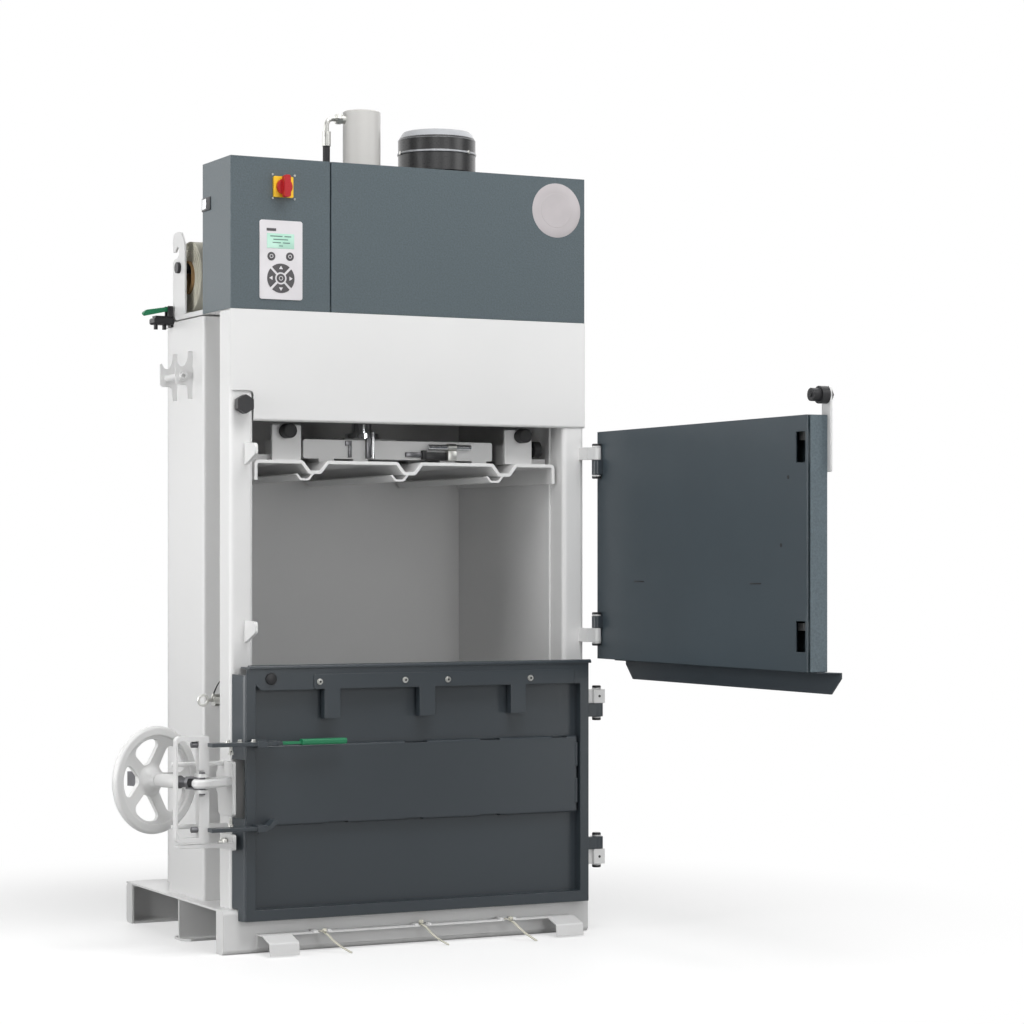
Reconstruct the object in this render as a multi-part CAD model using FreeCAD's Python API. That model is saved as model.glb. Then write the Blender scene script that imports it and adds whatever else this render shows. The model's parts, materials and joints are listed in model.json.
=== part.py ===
"""Vertical recycling baler: a press chamber with two front doors, a hydraulic press plate and a screw lock.

Millimetres. +X is to the operator's right, +Y goes into the machine, +Z is up. The origin lies on the
floor, under the middle of the front face of the posts.
"""
import FreeCAD, Part
import math
import os

V = FreeCAD.Vector

# ---------------------------------------------------------------- driving dimensions
BODY_WIDTH = 940.0            # over the two front posts
POST_WIDTH = 59.0
POST_DEPTH = 66.0
CHAMBER_BACK = 582.0          # inner face of the rear chamber wall
WALL = 5.0                    # chamber wall sheet
DECK_TOP = 104.0
BASE_LEFT = -497.0            # the base stands out under the lock
BASE_RIGHT = 467.0
BASE_FRONT = -26.0
BASE_BACK = 656.0
HEADER_BOTTOM = 1247.0
FRAME_TOP = 1508.0
CABINET_TOP = 1866.0
CABINET_DEPTH = 180.0
CABINET_FRONT = -4.0          # flush with the header panel
CABINET_SPLIT = -216.0        # joint between control cabinet and power pack cover
COLUMN_FRONT = 177.0
COLUMN_BACK = 418.0
PRESS_X = 0.0
PRESS_Y = 304.0               # axis of the press cylinder
CYLINDER_TOP = 2044.0
TUBE_RADIUS = 47.5
ROD_RADIUS = 25.0
HINGE_X = 486.0               # pin line of both doors
HINGE_Y = -35.0
PIN_RADIUS = 8.0
UPPER_KNUCKLE = 11.5
LOWER_KNUCKLE = 16.0
RUNNING_GAP = 0.05
FIT_GAP = 0.02                # radial, where a fixed pin sits in its hole
UPPER_DOOR_REST = 90.0        # degrees that the upper door stands open
STRAP_LANES = (-258.0, 2.0, 230.0)

# soft pieces: hand-chosen points that their centre lines pass or bend round
HOSE_RADIUS = 9.0
HOSE_ROUTE = ((-96.0, 304.0, 1952.0), (-96.0, 304.0, 1892.0), (-92.0, 320.0, 1834.0), (-76.0, 362.0, 1792.0),
              (-60.0, 420.0, 1760.0), (-60.0, 420.0, 1696.0))
STRAP_WIDTH = 9.0
STRAP_THICK = 1.6
KNOT_RADIUS = 7.0
STRAP_KNOTS = ((-262.0, -76.0, 52.0), (0.0, -49.0, 53.5), (225.0, -81.0, 52.0))
STRAP_ROUTES = (
    ((-262.0, -46.0, 47.2), (-262.0, -78.0, 50.0), (-240.0, -96.0, 18.0), (-212.0, -120.0, 1.2)),
    ((0.0, -38.0, 47.2), (0.0, -66.0, 49.0), (22.0, -82.0, 16.0), (49.0, -101.0, 1.2)),
    ((225.0, -46.0, 47.2), (225.0, -84.0, 50.0), (246.0, -108.0, 18.0), (268.0, -134.0, 1.2)))

HALF = BODY_WIDTH / 2
OPENING_HALF = HALF - POST_WIDTH

# upper door, written closed and turned open afterwards
UD_LEFT = -450.0
UD_RIGHT = 504.0
UD_FRONT = -99.0
UD_BACK = -47.0
UD_BOTTOM = 675.0
UD_TOP = 1238.0
UD_SHEET = 3.0
LATCH_HEIGHTS = (752.0, 1168.0)       # middle of each latch slot
LATCH_X = -423.0

# lower door, closed
LD_LEFT = -450.0
LD_RIGHT = 453.0
LD_FRONT = -55.0
LD_BACK = -3.0
LD_BOTTOM = 79.0
LD_TOP = 667.0
LD_BORDER = 23.0
LD_SKIN_FRONT = -30.0
BAND_BOTTOM = 616.0
RAISED_BAND = (299.0, 487.0)          # Z of the raised middle panel
LD_ROLL = -466.0                      # where the rolled left rim ends
HANGER_LANES = (-234.5, 12.5, 257.5)
HANGER_BOTTOM = 547.0

# press plate
PLATE_LEFT = -397.0
PLATE_RIGHT = 403.0
PLATE_TOP = 1157.0
PLATE_THICK = 8.0
PLATE_FRONT = 30.0
PLATE_BACK = 570.0
PLATE_SKIRT = 1109.0
PRESS_LANES = (-243.0, 5.0, 262.0)
PLATE_LOW = 1133.0                    # the level between the raised fields

# screw lock on the left
LOCK_PIN = (-560.0, -56.0)
LOCK_PIN_RADIUS = 7.0
LOCK_Z = 405.0
TONGUE = 20.0                         # height of the fixed tongue
FORK_HALF = 14.5                      # half height of the spindle's fork round the tongue
WHEEL_CENTRE = (-620.0, 97.0)         # centre of the rim; the hub sits further back
WHEEL_RADIUS = 127.5
WHEEL_DISH = 25.0
BAR_HEIGHTS = (494.0, 298.0)          # upper and lower lock bar

# strap roll on top of the left column
ROLL_AXLE = (350.0, 1635.0)           # Y, Z
ROLL_AXLE_RADIUS = 13.5
ROLL_CORE_BORE = 36.5
ROLL_RADIUS = 89.0

NODES = {}


def keep(name, *shapes):
    """Files the solids of one node under its name."""
    solids = [solid for shape in shapes for solid in shape.Solids]
    NODES[name] = solids[0] if len(solids) == 1 else Part.makeCompound(solids)


# ---------------------------------------------------------------- forming helpers
def box(x0, x1, y0, y1, z0, z1):
    return Part.makeBox(x1 - x0, y1 - y0, z1 - z0, V(x0, y0, z0))


def rod(radius, start, end):
    """A round bar from one point to another."""
    start, end = V(*start), V(*end)
    return Part.makeCylinder(radius, (end - start).Length, start, end - start)


def place(u, v, plane, at):
    if plane == "XY":
        return V(u, v, at)
    if plane == "XZ":
        return V(u, at, v)
    return V(at, u, v)


def outline(points, plane, at):
    """A closed wire through (u, v) or (u, v, corner radius) points."""
    corners = [(V(p[0], p[1], 0), p[2] if len(p) > 2 else 0.0) for p in points]
    path = []
    for index, (corner, radius) in enumerate(corners):
        if radius <= 0:
            path.append((corner, None, corner))
            continue
        before = (corners[index - 1][0] - corner).normalize()
        after = (corners[(index + 1) % len(corners)][0] - corner).normalize()
        half_angle = before.getAngle(after) / 2
        setback = radius / math.tan(half_angle)
        bisector = (before + after).normalize()
        centre = corner + bisector * (radius / math.sin(half_angle))
        path.append((corner + before * setback, centre - bisector * radius, corner + after * setback))
    edges = []
    for index, (start, middle, end) in enumerate(path):
        if middle is not None:
            edges.append(Part.Arc(*[place(p.x, p.y, plane, at) for p in (start, middle, end)]).toShape())
        following = path[(index + 1) % len(path)][0]
        if (following - end).Length > 1e-6:
            ends = [place(p.x, p.y, plane, at) for p in (end, following)]
            edges.append(Part.makeLine(*ends))
    return Part.Wire(edges)


def plate(points, plane, low, high):
    """A flat piece with a rounded outline, between two levels across its plane."""
    direction = place(0, 0, plane, high - low)
    return Part.Face(outline(points, plane, low)).extrude(direction)


def folded(points, thickness, bend, plane, low, high):
    """Folded sheet: a strip of one thickness along a line of corners, bent to one inner radius."""
    line = [V(p[0], p[1], 0) for p in points]
    half = thickness / 2
    left, right = [], []
    for index, corner in enumerate(line):
        back = (corner - line[index - 1]).normalize() if index else None
        ahead = (line[index + 1] - corner).normalize() if index + 1 < len(line) else None
        if back is None or ahead is None:
            direction = ahead or back
            normal = V(-direction.y, direction.x, 0)
            left.append((corner + normal * half, 0.0))
            right.append((corner - normal * half, 0.0))
            continue
        normals = V(-back.y, back.x, 0) + V(-ahead.y, ahead.x, 0)
        mitre = normals.normalize()
        reach = half / mitre.dot(V(-back.y, back.x, 0))
        turns_left = back.cross(ahead).z > 0
        left.append((corner + mitre * reach, bend if turns_left else bend + thickness))
        right.append((corner - mitre * reach, bend + thickness if turns_left else bend))
    ring = left + right[::-1]
    return plate([(p.x, p.y, r) for p, r in ring], plane, low, high)


def hexagon(u, v, radius, rounding, start):
    """Corner points of a regular hexagon round (u, v), the first at the start angle in degrees."""
    angles = [math.radians(start + 60 * index) for index in range(6)]
    return [(u + radius * math.cos(a), v + radius * math.sin(a), rounding) for a in angles]


def centre_line(points):
    """A wire of straight runs joined by tangent arcs."""
    edges = []
    start = points[0]
    for index in range(1, len(points) - 1):
        corner = points[index]
        run_in, run_out = corner - points[index - 1], points[index + 1] - corner
        turn = run_in.getAngle(run_out)
        setback = 0.45 * min(run_in.Length, run_out.Length)
        arc_radius = setback / math.tan(turn / 2)
        back, ahead = run_in.normalize(), run_out.normalize()
        first, last = corner - back * setback, corner + ahead * setback
        bisector = (ahead - back).normalize()
        middle = corner + bisector * (arc_radius / math.cos(turn / 2) - arc_radius)
        edges.append(Part.makeLine(start, first))
        edges.append(Part.Arc(first, middle, last).toShape())
        start = last
    edges.append(Part.makeLine(start, points[-1]))
    return Part.Wire(edges)


def ribbon_along(points, width, thickness):
    """A flat strap along a centre line, kept level across its width."""
    ahead = (points[1] - points[0]).normalize()
    across = ahead.cross(V(0, 0, 1)).normalize()
    up = across.cross(ahead)
    corners = [points[0] + across * (width / 2 * a) + up * (thickness / 2 * b)
               for a, b in ((-1, -1), (1, -1), (1, 1), (-1, 1))]
    sweep = Part.BRepOffsetAPI.MakePipeShell(centre_line(points))
    sweep.setBiNormalMode(across)
    sweep.add(Part.makePolygon(corners + corners[:1]), False, False)
    sweep.build()
    sweep.makeSolid()
    return sweep.shape()


def mirrored(shape):
    return shape.mirror(V(0, 0, 0), V(1, 0, 0))


def opened(shape):
    """Turns an upper door piece from closed to the angle at which the door stands open."""
    turned = shape.copy()
    turned.rotate(V(HINGE_X, HINGE_Y, 0), V(0, 0, 1), UPPER_DOOR_REST)
    return turned


# ---------------------------------------------------------------- base
def base():
    sheet = 5.0
    sill_back = 20.0
    round_front = 12.0
    ends = [(BASE_LEFT, -1), (BASE_RIGHT, 1)]

    sill = folded([(sill_back, sheet / 2), (BASE_FRONT + sheet / 2, sheet / 2),
                   (BASE_FRONT + sheet / 2, DECK_TOP - sheet / 2), (sill_back, DECK_TOP - sheet / 2)],
                  sheet, round_front - sheet, "YZ", BASE_LEFT + sheet, BASE_RIGHT - sheet)
    cap_outline = [(sill_back, 0), (BASE_FRONT, 0, round_front), (BASE_FRONT, DECK_TOP, round_front),
                   (sill_back, DECK_TOP)]
    caps = [plate(cap_outline, "YZ", min(x, x - side * sheet), max(x, x - side * sheet)) for x, side in ends]
    keep("front_sill", sill.multiFuse(caps).removeSplitter())

    deck = box(BASE_LEFT, BASE_RIGHT, sill_back, BASE_BACK, DECK_TOP - sheet, DECK_TOP)
    keep("base_deck", deck)

    web = 272.0
    under = DECK_TOP - sheet
    foot = folded([(web - 34, 3), (web, 3), (web, under)], 6.0, 4.0, "YZ", BASE_LEFT, BASE_RIGHT)
    corner_cuts = [plate([(x, web - 37), (x - side * 22, web - 37), (x, web - 15)], "XY", -1, 6.5)
                   for x, side in ends]
    tab = plate([(BASE_LEFT, web), (BASE_LEFT + 45, web), (BASE_LEFT + 45, web + 40, 12),
                 (BASE_LEFT, web + 40, 12)], "XY", 0, 6)
    far_tab = plate([(BASE_RIGHT, web), (BASE_RIGHT - 45, web), (BASE_RIGHT - 45, web + 40, 12),
                     (BASE_RIGHT, web + 40, 12)], "XY", 0, 6)
    anchors = [Part.makeCylinder(6.5, 8, V(x - side * 22, web + 22, -1)) for x, side in ends]
    foot = foot.cut(Part.makeCompound(corner_cuts)).multiFuse([tab, far_tab])
    keep("middle_foot", foot.cut(Part.makeCompound(anchors)))

    front_edge = 614.0
    channel = folded([(front_edge, 3), (BASE_BACK - 3, 3), (BASE_BACK - 3, under - 3),
                      (front_edge, under - 3)],
                     6.0, 6.0, "YZ", BASE_LEFT + 6, BASE_RIGHT - 6)
    end_outline = [(front_edge, 0, 6), (BASE_BACK, 0, 12), (BASE_BACK, under, 12), (front_edge, under)]
    ends_closed = [plate(end_outline, "YZ", min(x, x - side * 6), max(x, x - side * 6)) for x, side in ends]
    keep("rear_foot", channel.multiFuse(ends_closed).removeSplitter())


# ---------------------------------------------------------------- press frame and chamber
def frame_walls():
    sheet = 4.0
    centre = sheet / 2
    outer, inner = HALF - centre, OPENING_HALF + centre
    post = folded([(-outer, POST_DEPTH), (-outer, centre), (-inner, centre), (-inner, POST_DEPTH)],
                  sheet, 7.0, "XY", DECK_TOP, FRAME_TOP - 2)
    keep("left_front_post", post)
    keep("right_front_post", mirrored(post))

    wall_inner = OPENING_HALF - WALL
    wall_top = FRAME_TOP
    left_wall = box(-OPENING_HALF, -wall_inner, POST_DEPTH, CHAMBER_BACK, DECK_TOP, wall_top)
    keep("left_chamber_wall", left_wall)
    keep("right_chamber_wall", mirrored(left_wall))
    rear = box(-OPENING_HALF, OPENING_HALF, CHAMBER_BACK, CHAMBER_BACK + WALL, DECK_TOP, wall_top)
    rib_foot, rib_crest = CHAMBER_BACK + WALL, CHAMBER_BACK + 36
    ribs = [folded([(x - 30, rib_foot), (x - 22, rib_crest), (x + 22, rib_crest), (x + 30, rib_foot)],
                   4.0, 4.0, "XY", DECK_TOP, wall_top) for x in (-250, 0, 250)]
    keep("rear_chamber_wall", rear.multiFuse(ribs))

    column_sheet = 4.0
    edge = column_sheet / 2
    column = folded([(-OPENING_HALF - 0.5, COLUMN_FRONT + edge), (-HALF + edge, COLUMN_FRONT + edge),
                     (-HALF + edge, COLUMN_BACK - edge), (-OPENING_HALF - 0.5, COLUMN_BACK - edge)],
                    column_sheet, 4.0, "XY", DECK_TOP, FRAME_TOP - 4)
    cap = box(-HALF + 8, -OPENING_HALF - 0.5, COLUMN_FRONT + 4, COLUMN_BACK - 4, FRAME_TOP - 8, FRAME_TOP - 4)
    left_column = column.fuse(cap)
    keep("left_side_column", left_column)
    keep("right_side_column", mirrored(column.fuse(cap)))


def header():
    sheet = 4.0
    low_line = HEADER_BOTTOM + sheet / 2
    panel = folded([(-sheet / 2, FRAME_TOP), (-sheet / 2, low_line), (13.0, low_line)],
                   sheet, 2.0, "YZ", -HALF, HALF)
    notch_top = HEADER_BOTTOM + 70.0
    notch_right = -HALF + 58.0
    notch = plate([(-HALF - 1, HEADER_BOTTOM - 1), (notch_right, HEADER_BOTTOM - 1),
                   (notch_right, notch_top, 10), (-HALF - 1, notch_top)], "XZ", -5, 20)
    post_trim = box(HALF - POST_WIDTH - 1, HALF + 1, 0.0, 20, HEADER_BOTTOM - 1, HEADER_BOTTOM + 8)
    keep("header_panel", panel.cut(notch).cut(post_trim).cut(mirrored(post_trim)))

    plate_thick = 12.0
    wide, narrow = HALF - 3, OPENING_HALF - 3
    back = CHAMBER_BACK + 36
    stepped = [(-wide, 3), (wide, 3), (wide, COLUMN_BACK), (narrow, COLUMN_BACK), (narrow, back),
               (-narrow, back), (-narrow, COLUMN_BACK), (-wide, COLUMN_BACK)]
    top = plate(stepped, "XY", FRAME_TOP, FRAME_TOP + plate_thick)
    bore = Part.makeCylinder(36, 40, V(PRESS_X, PRESS_Y, FRAME_TOP - 5))
    keep("top_plate", top.cut(bore))

    receiver_x, receiver_z = -HALF + 29.5, 1284.0
    head = plate(hexagon(receiver_x, receiver_z, 23.0, 3.0, 30), "XZ", -27, -6)
    flange = Part.makeCylinder(17, 6, V(receiver_x, -6, receiver_z), V(0, 1, 0))
    keep("interlock_receiver", head.fuse(flange))

    hook = ((0, -25), (-34, -14, 8), (-66, -2, 8), (-66, 24, 11), (-30, 26, 6), (0, 26))
    lugs = [plate([(p[0], z + p[1]) + p[2:] for p in hook], "YZ", -HALF + 36, -HALF + 44)
            for z in LATCH_HEIGHTS]
    keep("latch_lugs", *lugs)


# ---------------------------------------------------------------- covers and controls
def covers():
    floor = FRAME_TOP + 12.0
    sheet = 2.5
    bottom = FRAME_TOP + 0.5

    def hood(x0, x1, name, open_back):
        shell = box(x0, x1, CABINET_FRONT, CABINET_DEPTH, bottom, CABINET_TOP)
        front_corners = [e for e in shell.Edges if abs(e.Vertexes[0].Z - e.Vertexes[-1].Z) > 1
                         and e.Vertexes[0].Y < CABINET_FRONT + 1]
        shell = shell.makeFillet(3.0, front_corners)
        back = CABINET_DEPTH + (1 if open_back else -sheet)
        hollow = box(x0 + sheet, x1 - sheet, CABINET_FRONT + sheet, back, bottom - 1, CABINET_TOP - sheet)
        rest = box(-HALF + 2.6, HALF - 2.6, 2.9, CABINET_DEPTH + 1, bottom - 1, floor + 0.3)
        keep(name, shell.cut(hollow).cut(rest))

    hood(-HALF, CABINET_SPLIT - 1.0, "control_cabinet", False)
    hood(CABINET_SPLIT + 1.0, HALF, "power_pack_cover", True)


SWITCH_X, SWITCH_Z = -339.5, 1798.0


def controls():
    half = 24.5
    corner = 3.0
    square = [(SWITCH_X - half, SWITCH_Z - half, corner), (SWITCH_X + half, SWITCH_Z - half, corner),
              (SWITCH_X + half, SWITCH_Z + half, corner), (SWITCH_X - half, SWITCH_Z + half, corner)]
    front = CABINET_FRONT
    keep("main_switch_plate", plate(square, "XZ", front - 8, front))
    boss = rod(19, (SWITCH_X, front - 17, SWITCH_Z), (SWITCH_X, front - 8.3, SWITCH_Z))
    bar = plate([(SWITCH_X + side * 8, SWITCH_Z + rise * 26, 5)
                 for side, rise in ((-1, -1), (1, -1), (1, 1), (-1, 1))], "XZ", front - 33, front - 17)
    keep("main_switch_knob", boss.fuse(bar))

    left, right, low, high = -398.0, -290.0, 1533.0, 1719.0
    panel = plate([(left, low, 6), (right, low, 6), (right, high, 6), (left, high, 6)],
                  "XZ", front - 3, front)
    keep("keypad_panel", panel)


# ---------------------------------------------------------------- hydraulics
def hydraulics():
    base_z = FRAME_TOP + 12.0
    tube = Part.makeCylinder(TUBE_RADIUS, CYLINDER_TOP - base_z, V(PRESS_X, PRESS_Y, base_z))
    top_edge = [e for e in tube.Edges if e.BoundBox.ZMin > CYLINDER_TOP - 1]
    tube = tube.makeChamfer(2.5, top_edge)
    corners = [(sx, sy) for sx, sy in ((-1, -1), (1, -1), (1, 1), (-1, 1))]
    flange_half, bolt_offset = 75.0, 58.0
    flange = plate([(PRESS_X + sx * flange_half, PRESS_Y + sy * flange_half, 12) for sx, sy in corners],
                   "XY", base_z, base_z + 22)
    bolts = [Part.makeCylinder(9, 12, V(PRESS_X + sx * bolt_offset, PRESS_Y + sy * bolt_offset, base_z + 22))
             for sx, sy in corners]
    bore = Part.makeCylinder(36, 480, V(PRESS_X, PRESS_Y, base_z - 1))
    gland = Part.makeCylinder(36, 30, V(PRESS_X, PRESS_Y, base_z - 12))
    gland = gland.cut(Part.makeCylinder(ROD_RADIUS + RUNNING_GAP, 60, V(PRESS_X, PRESS_Y, base_z - 20)))
    keep("cylinder_tube", tube.multiFuse([flange] + bolts).cut(bore).fuse(gland))

    port_y, port_z = PRESS_Y, 2022.0
    elbow_x = HOSE_ROUTE[0][0]
    bend = 18.0
    union = rod(11, (-72, port_y, port_z), (-40, port_y, port_z))
    union = union.cut(Part.makeCylinder(TUBE_RADIUS, 60, V(PRESS_X, PRESS_Y, port_z - 30)))
    nut = plate(hexagon(port_y, port_z, 14.0, 0.0, 0), "YZ", -70, -56)
    run = rod(6.5, (elbow_x + bend, port_y, port_z), (-70, port_y, port_z))
    ring = Part.makeTorus(bend, 6.5, V(elbow_x + bend, port_y, port_z - bend), V(0, 1, 0), 0, 360)
    quarter = box(elbow_x - 10, elbow_x + bend, port_y - 10, port_y + 10, port_z - bend, port_z + 10)
    ferrule_top = port_z - 34
    drop = rod(6.5, (elbow_x, port_y, port_z - bend), (elbow_x, port_y, ferrule_top))
    ferrule = rod(11, (elbow_x, port_y, ferrule_top), HOSE_ROUTE[0])
    keep("hose_fitting", union.multiFuse([nut, run, ring.common(quarter), drop, ferrule]))
    keep("hydraulic_hose", tube_along([V(*point) for point in HOSE_ROUTE], HOSE_RADIUS))

    port = HOSE_ROUTE[-1]
    valve_top = port[2] - 6
    valve = box(-95, 25, 385, 470, base_z, valve_top)
    stub = Part.makeCylinder(12, 12, V(port[0], port[1], valve_top - 6))
    tank_left, tank_right, tank_top = 80.0, 400.0, 1700.0
    manifold = box(25, tank_left, 400, 455, 1560, 1640)
    keep("valve_block", valve.multiFuse([stub, manifold]))
    tank = box(tank_left, tank_right, 215, 560, base_z, tank_top)
    upright = [e for e in tank.Edges if e.BoundBox.ZLength > 100]
    tank = tank.makeFillet(14, upright)
    lid = box(tank_left - 10, tank_right + 8, 205, 570, tank_top, tank_top + 6)
    filler = Part.makeCylinder(22, 26, V(110, 250, tank_top + 6))
    gauge = box(200, 216, 209, 215, 1560, 1650)
    keep("oil_tank", tank.multiFuse([lid, filler, gauge]))

    motor_x, motor_y = 221.0, 330.0
    flange_disc = Part.makeCylinder(98, 14, V(motor_x, motor_y, 1706))
    barrel = Part.makeCylinder(80, 184, V(motor_x, motor_y, 1720))
    fins = []
    for index in range(24):
        fin = box(78, 93, -2, 2, 1728, 1896)
        fin.rotate(V(0, 0, 0), V(0, 0, 1), index * 15.0)
        fin.translate(V(motor_x, motor_y, 0))
        fins.append(fin)
    terminal = box(motor_x - 152, motor_x - 75, motor_y - 48, motor_y + 48, 1760, 1850)
    keep("drive_motor", barrel.multiFuse([flange_disc, terminal] + fins))

    low, high, radius, wall = 1905.0, 2008.0, 99.0, 3.0
    side = [(radius, low), (radius, 1949), (radius + 1.2, 1950), (radius + 1.2, 1956), (radius, 1957),
            (radius, high - 20), (radius - 11, high - 2), (radius - 14, high), (0, high)]
    inner = [(0, high - wall), (radius - 15, high - wall), (radius - wall, high - 22),
             (radius - wall, low + 5), (62, low + 5), (62, low)]
    profile = Part.makePolygon([V(r, 0, z) for r, z in side + inner + side[:1]])
    cowl = Part.Face(profile).revolve(V(0, 0, 0), V(0, 0, 1), 360)
    slots = []
    for ring_radius, count in ((38.0, 8), (66.0, 14)):
        for index in range(count):
            hole = box(ring_radius - 10, ring_radius + 10, -3, 3, high - 8, high + 2)
            hole.rotate(V(0, 0, 0), V(0, 0, 1), index * 360.0 / count)
            slots.append(hole)
    cowl = cowl.cut(Part.makeCompound(slots))
    cowl.translate(V(motor_x, motor_y, 0))
    keep("fan_cowl", cowl)


def tube_along(points, radius):
    """A round tube along straight runs joined by tangent arcs."""
    ring = Part.Wire([Part.makeCircle(radius, points[0], points[1] - points[0])])
    return centre_line(points).makePipeShell([ring], True, False)


# ---------------------------------------------------------------- strap roll, holder and cutter
def strap_roll():
    roll_z = ROLL_AXLE[1] - (ROLL_CORE_BORE - ROLL_AXLE_RADIUS - RUNNING_GAP)
    axle_y, axle_z = ROLL_AXLE
    left = -HALF + 3
    low = FRAME_TOP + 12.0
    bracket = plate([(310, low), (395, low), (395, 1652, 5), (384, 1659, 5), (366, 1659, 5), (352, 1668, 6),
                     (352, 1684, 6), (364, 1688, 5), (378, 1676, 5), (395, 1676, 4), (395, 1700, 9),
                     (388, 1723, 13), (338, 1723, 20), (314, 1690, 18)], "YZ", left, left + 5)
    hole = rod(ROLL_AXLE_RADIUS + FIT_GAP, (left - 1, axle_y, axle_z), (left + 6, axle_y, axle_z))
    keep("strap_roll_bracket", bracket.cut(hole))
    axle = rod(ROLL_AXLE_RADIUS, (left - 8, axle_y, axle_z), (-381, axle_y, axle_z))
    collar = rod(24, (left + 5, axle_y, axle_z), (left + 9, axle_y, axle_z))
    end_disc = rod(20, (-385, axle_y, axle_z), (-381, axle_y, axle_z))
    keep("roll_axle", axle.multiFuse([collar, end_disc]))

    x0, x1 = -449.0, -389.0
    core_radius = ROLL_CORE_BORE + 3.5
    core = rod(core_radius, (x0, axle_y, roll_z), (x1, axle_y, roll_z))
    keep("roll_core", core.cut(rod(ROLL_CORE_BORE, (x0 - 1, axle_y, roll_z), (x1 + 1, axle_y, roll_z))))
    insets = (4.0, 5.4, 4.4, 5.6, 4.2, 5.2)
    step = (ROLL_RADIUS - core_radius) / len(insets)
    turns = []
    for index, inset in enumerate(insets):
        inner = core_radius + index * step
        ring = rod(inner + step, (x0 + inset, axle_y, roll_z), (x1 - inset, axle_y, roll_z))
        turns.append(ring.cut(rod(inner, (x0, axle_y, roll_z), (x1, axle_y, roll_z))))
    keep("strap_roll", turns[0].multiFuse(turns[1:]))


def column_fittings():
    face = -HALF
    outline_points = [(0, 1309), (0, 1424), (-11, 1424, 2), (-14, 1400, 8), (-22, 1386, 9), (-33, 1388, 7),
                      (-40, 1400), (-44, 1398, 1.5), (-44, 1343, 9), (-14, 1343, 8), (-11, 1309, 2)]
    bolt_x, bolt_z = face - 26.0, 1364.0
    near, far, thick = 250.0, 356.0, 3.0
    plates = []
    for y in (near, far):
        fork = plate([(face + p[0],) + tuple(p[1:]) for p in outline_points], "XZ", y, y + thick)
        foot = box(face - 3, face, y, y + 20, 1316, 1416)
        plates.append(fork.fuse(foot).cut(rod(5 + FIT_GAP, (bolt_x, y - 1, bolt_z), (bolt_x, y + 4, bolt_z))))
    spacer = rod(8, (bolt_x, near + thick, bolt_z), (bolt_x, far, bolt_z))
    shank = rod(5, (bolt_x, near - 4, bolt_z), (bolt_x, far + 10, bolt_z))
    washer = rod(13, (bolt_x, near - 2.5, bolt_z), (bolt_x, near, bolt_z))
    head = rod(8.5, (bolt_x, near - 11, bolt_z), (bolt_x, near - 2.5, bolt_z))
    nut = rod(9, (bolt_x, far + thick, bolt_z), (bolt_x, far + 10, bolt_z))
    socket = plate(hexagon(bolt_x, bolt_z, 4.6, 0.0, 0), "XZ", near - 12, near - 6)
    bolt = spacer.multiFuse([shank, washer, head, nut]).cut(socket)
    keep("strap_holder", *(plates + [bolt]))

    y = 400.0
    body_low = 1498.0
    body_top = body_low + 16
    body = box(face - 52, face - 1, y - 24, y + 12, body_low, body_top)
    body = body.makeFillet(5.0, [e for e in body.Edges if e.BoundBox.YLength > 10])
    strap_plate = box(face - 46, face, y - 18, y + 8, body_top + 2, body_top + 5)
    seat = box(face - 46, face - 20, y - 16, y + 6, body_top, body_top + 2)
    side = box(face - 6, face, y - 16, y + 6, body_low - 6, body_top + 2)
    bolts = [rod(5, (x, y - 6, body_low - 12), (x, y - 6, body_low)) for x in (face - 42, face - 20)]
    pivot_x, pivot_z = face - 6.0, body_top + 24
    lever = plate([(-72, 0, 4), (-66, -8, 3), (4, -5, 3), (4, 5, 3), (-60, 6, 3)], "XZ", y - 13, y + 3)
    lever = lever.cut(rod(3 + RUNNING_GAP, (0, y - 20, 0), (0, y + 10, 0)))
    lever.rotate(V(0, y, 0), V(0, 1, 0), -10.0)
    lever.translate(V(pivot_x, 0, pivot_z))
    keep("cutter_lever", lever)
    ears = [box(face - 14, face - 1, y0, y0 + 4, body_top + 5, pivot_z + 6) for y0 in (y - 18, y + 4)]
    pivot = rod(3, (pivot_x, y - 20, pivot_z), (pivot_x, y + 10, pivot_z))
    keep("cutter_body", body.multiFuse([strap_plate, seat, side, pivot] + bolts + ears))

    eye_x, eye_y, eye_z = face - 26.0, 108.0, 588.0
    ring = rod(15, (eye_x, eye_y - 3, eye_z), (eye_x, eye_y + 3, eye_z))
    ring = ring.makeChamfer(1.5, [e for e in ring.Edges if e.BoundBox.YLength < 0.1])
    ring = ring.cut(rod(9, (eye_x, eye_y - 4, eye_z), (eye_x, eye_y + 4, eye_z)))
    shank = rod(4, (eye_x + 12, eye_y, eye_z), (face, eye_y, eye_z))
    block = box(face, face + 16, eye_y - 12, eye_y + 12, eye_z - 14, eye_z + 14)
    arm = box(face, face + 14, POST_DEPTH, eye_y - 12, eye_z - 8, eye_z + 8)
    keep("eye_bolt", ring.multiFuse([shank, block, arm]))


# ---------------------------------------------------------------- hinges
HINGE_PAIRS = (("upper", (1131.0, 1168.0), (1168.5, 1198.5)), ("upper", (751.5, 781.0), (717.0, 751.0)),
               ("lower", (532.5, 565.5), (566.0, 599.5)), ("lower", (205.0, 235.0), (168.0, 204.5)))


def knuckle(radius, z0, z1):
    return Part.makeCylinder(radius, z1 - z0, V(HINGE_X, HINGE_Y, z0))


def hinge_bore(radius, z0, z1):
    return Part.makeCylinder(radius, z1 - z0 + 2, V(HINGE_X, HINGE_Y, z0 - 1))


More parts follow.
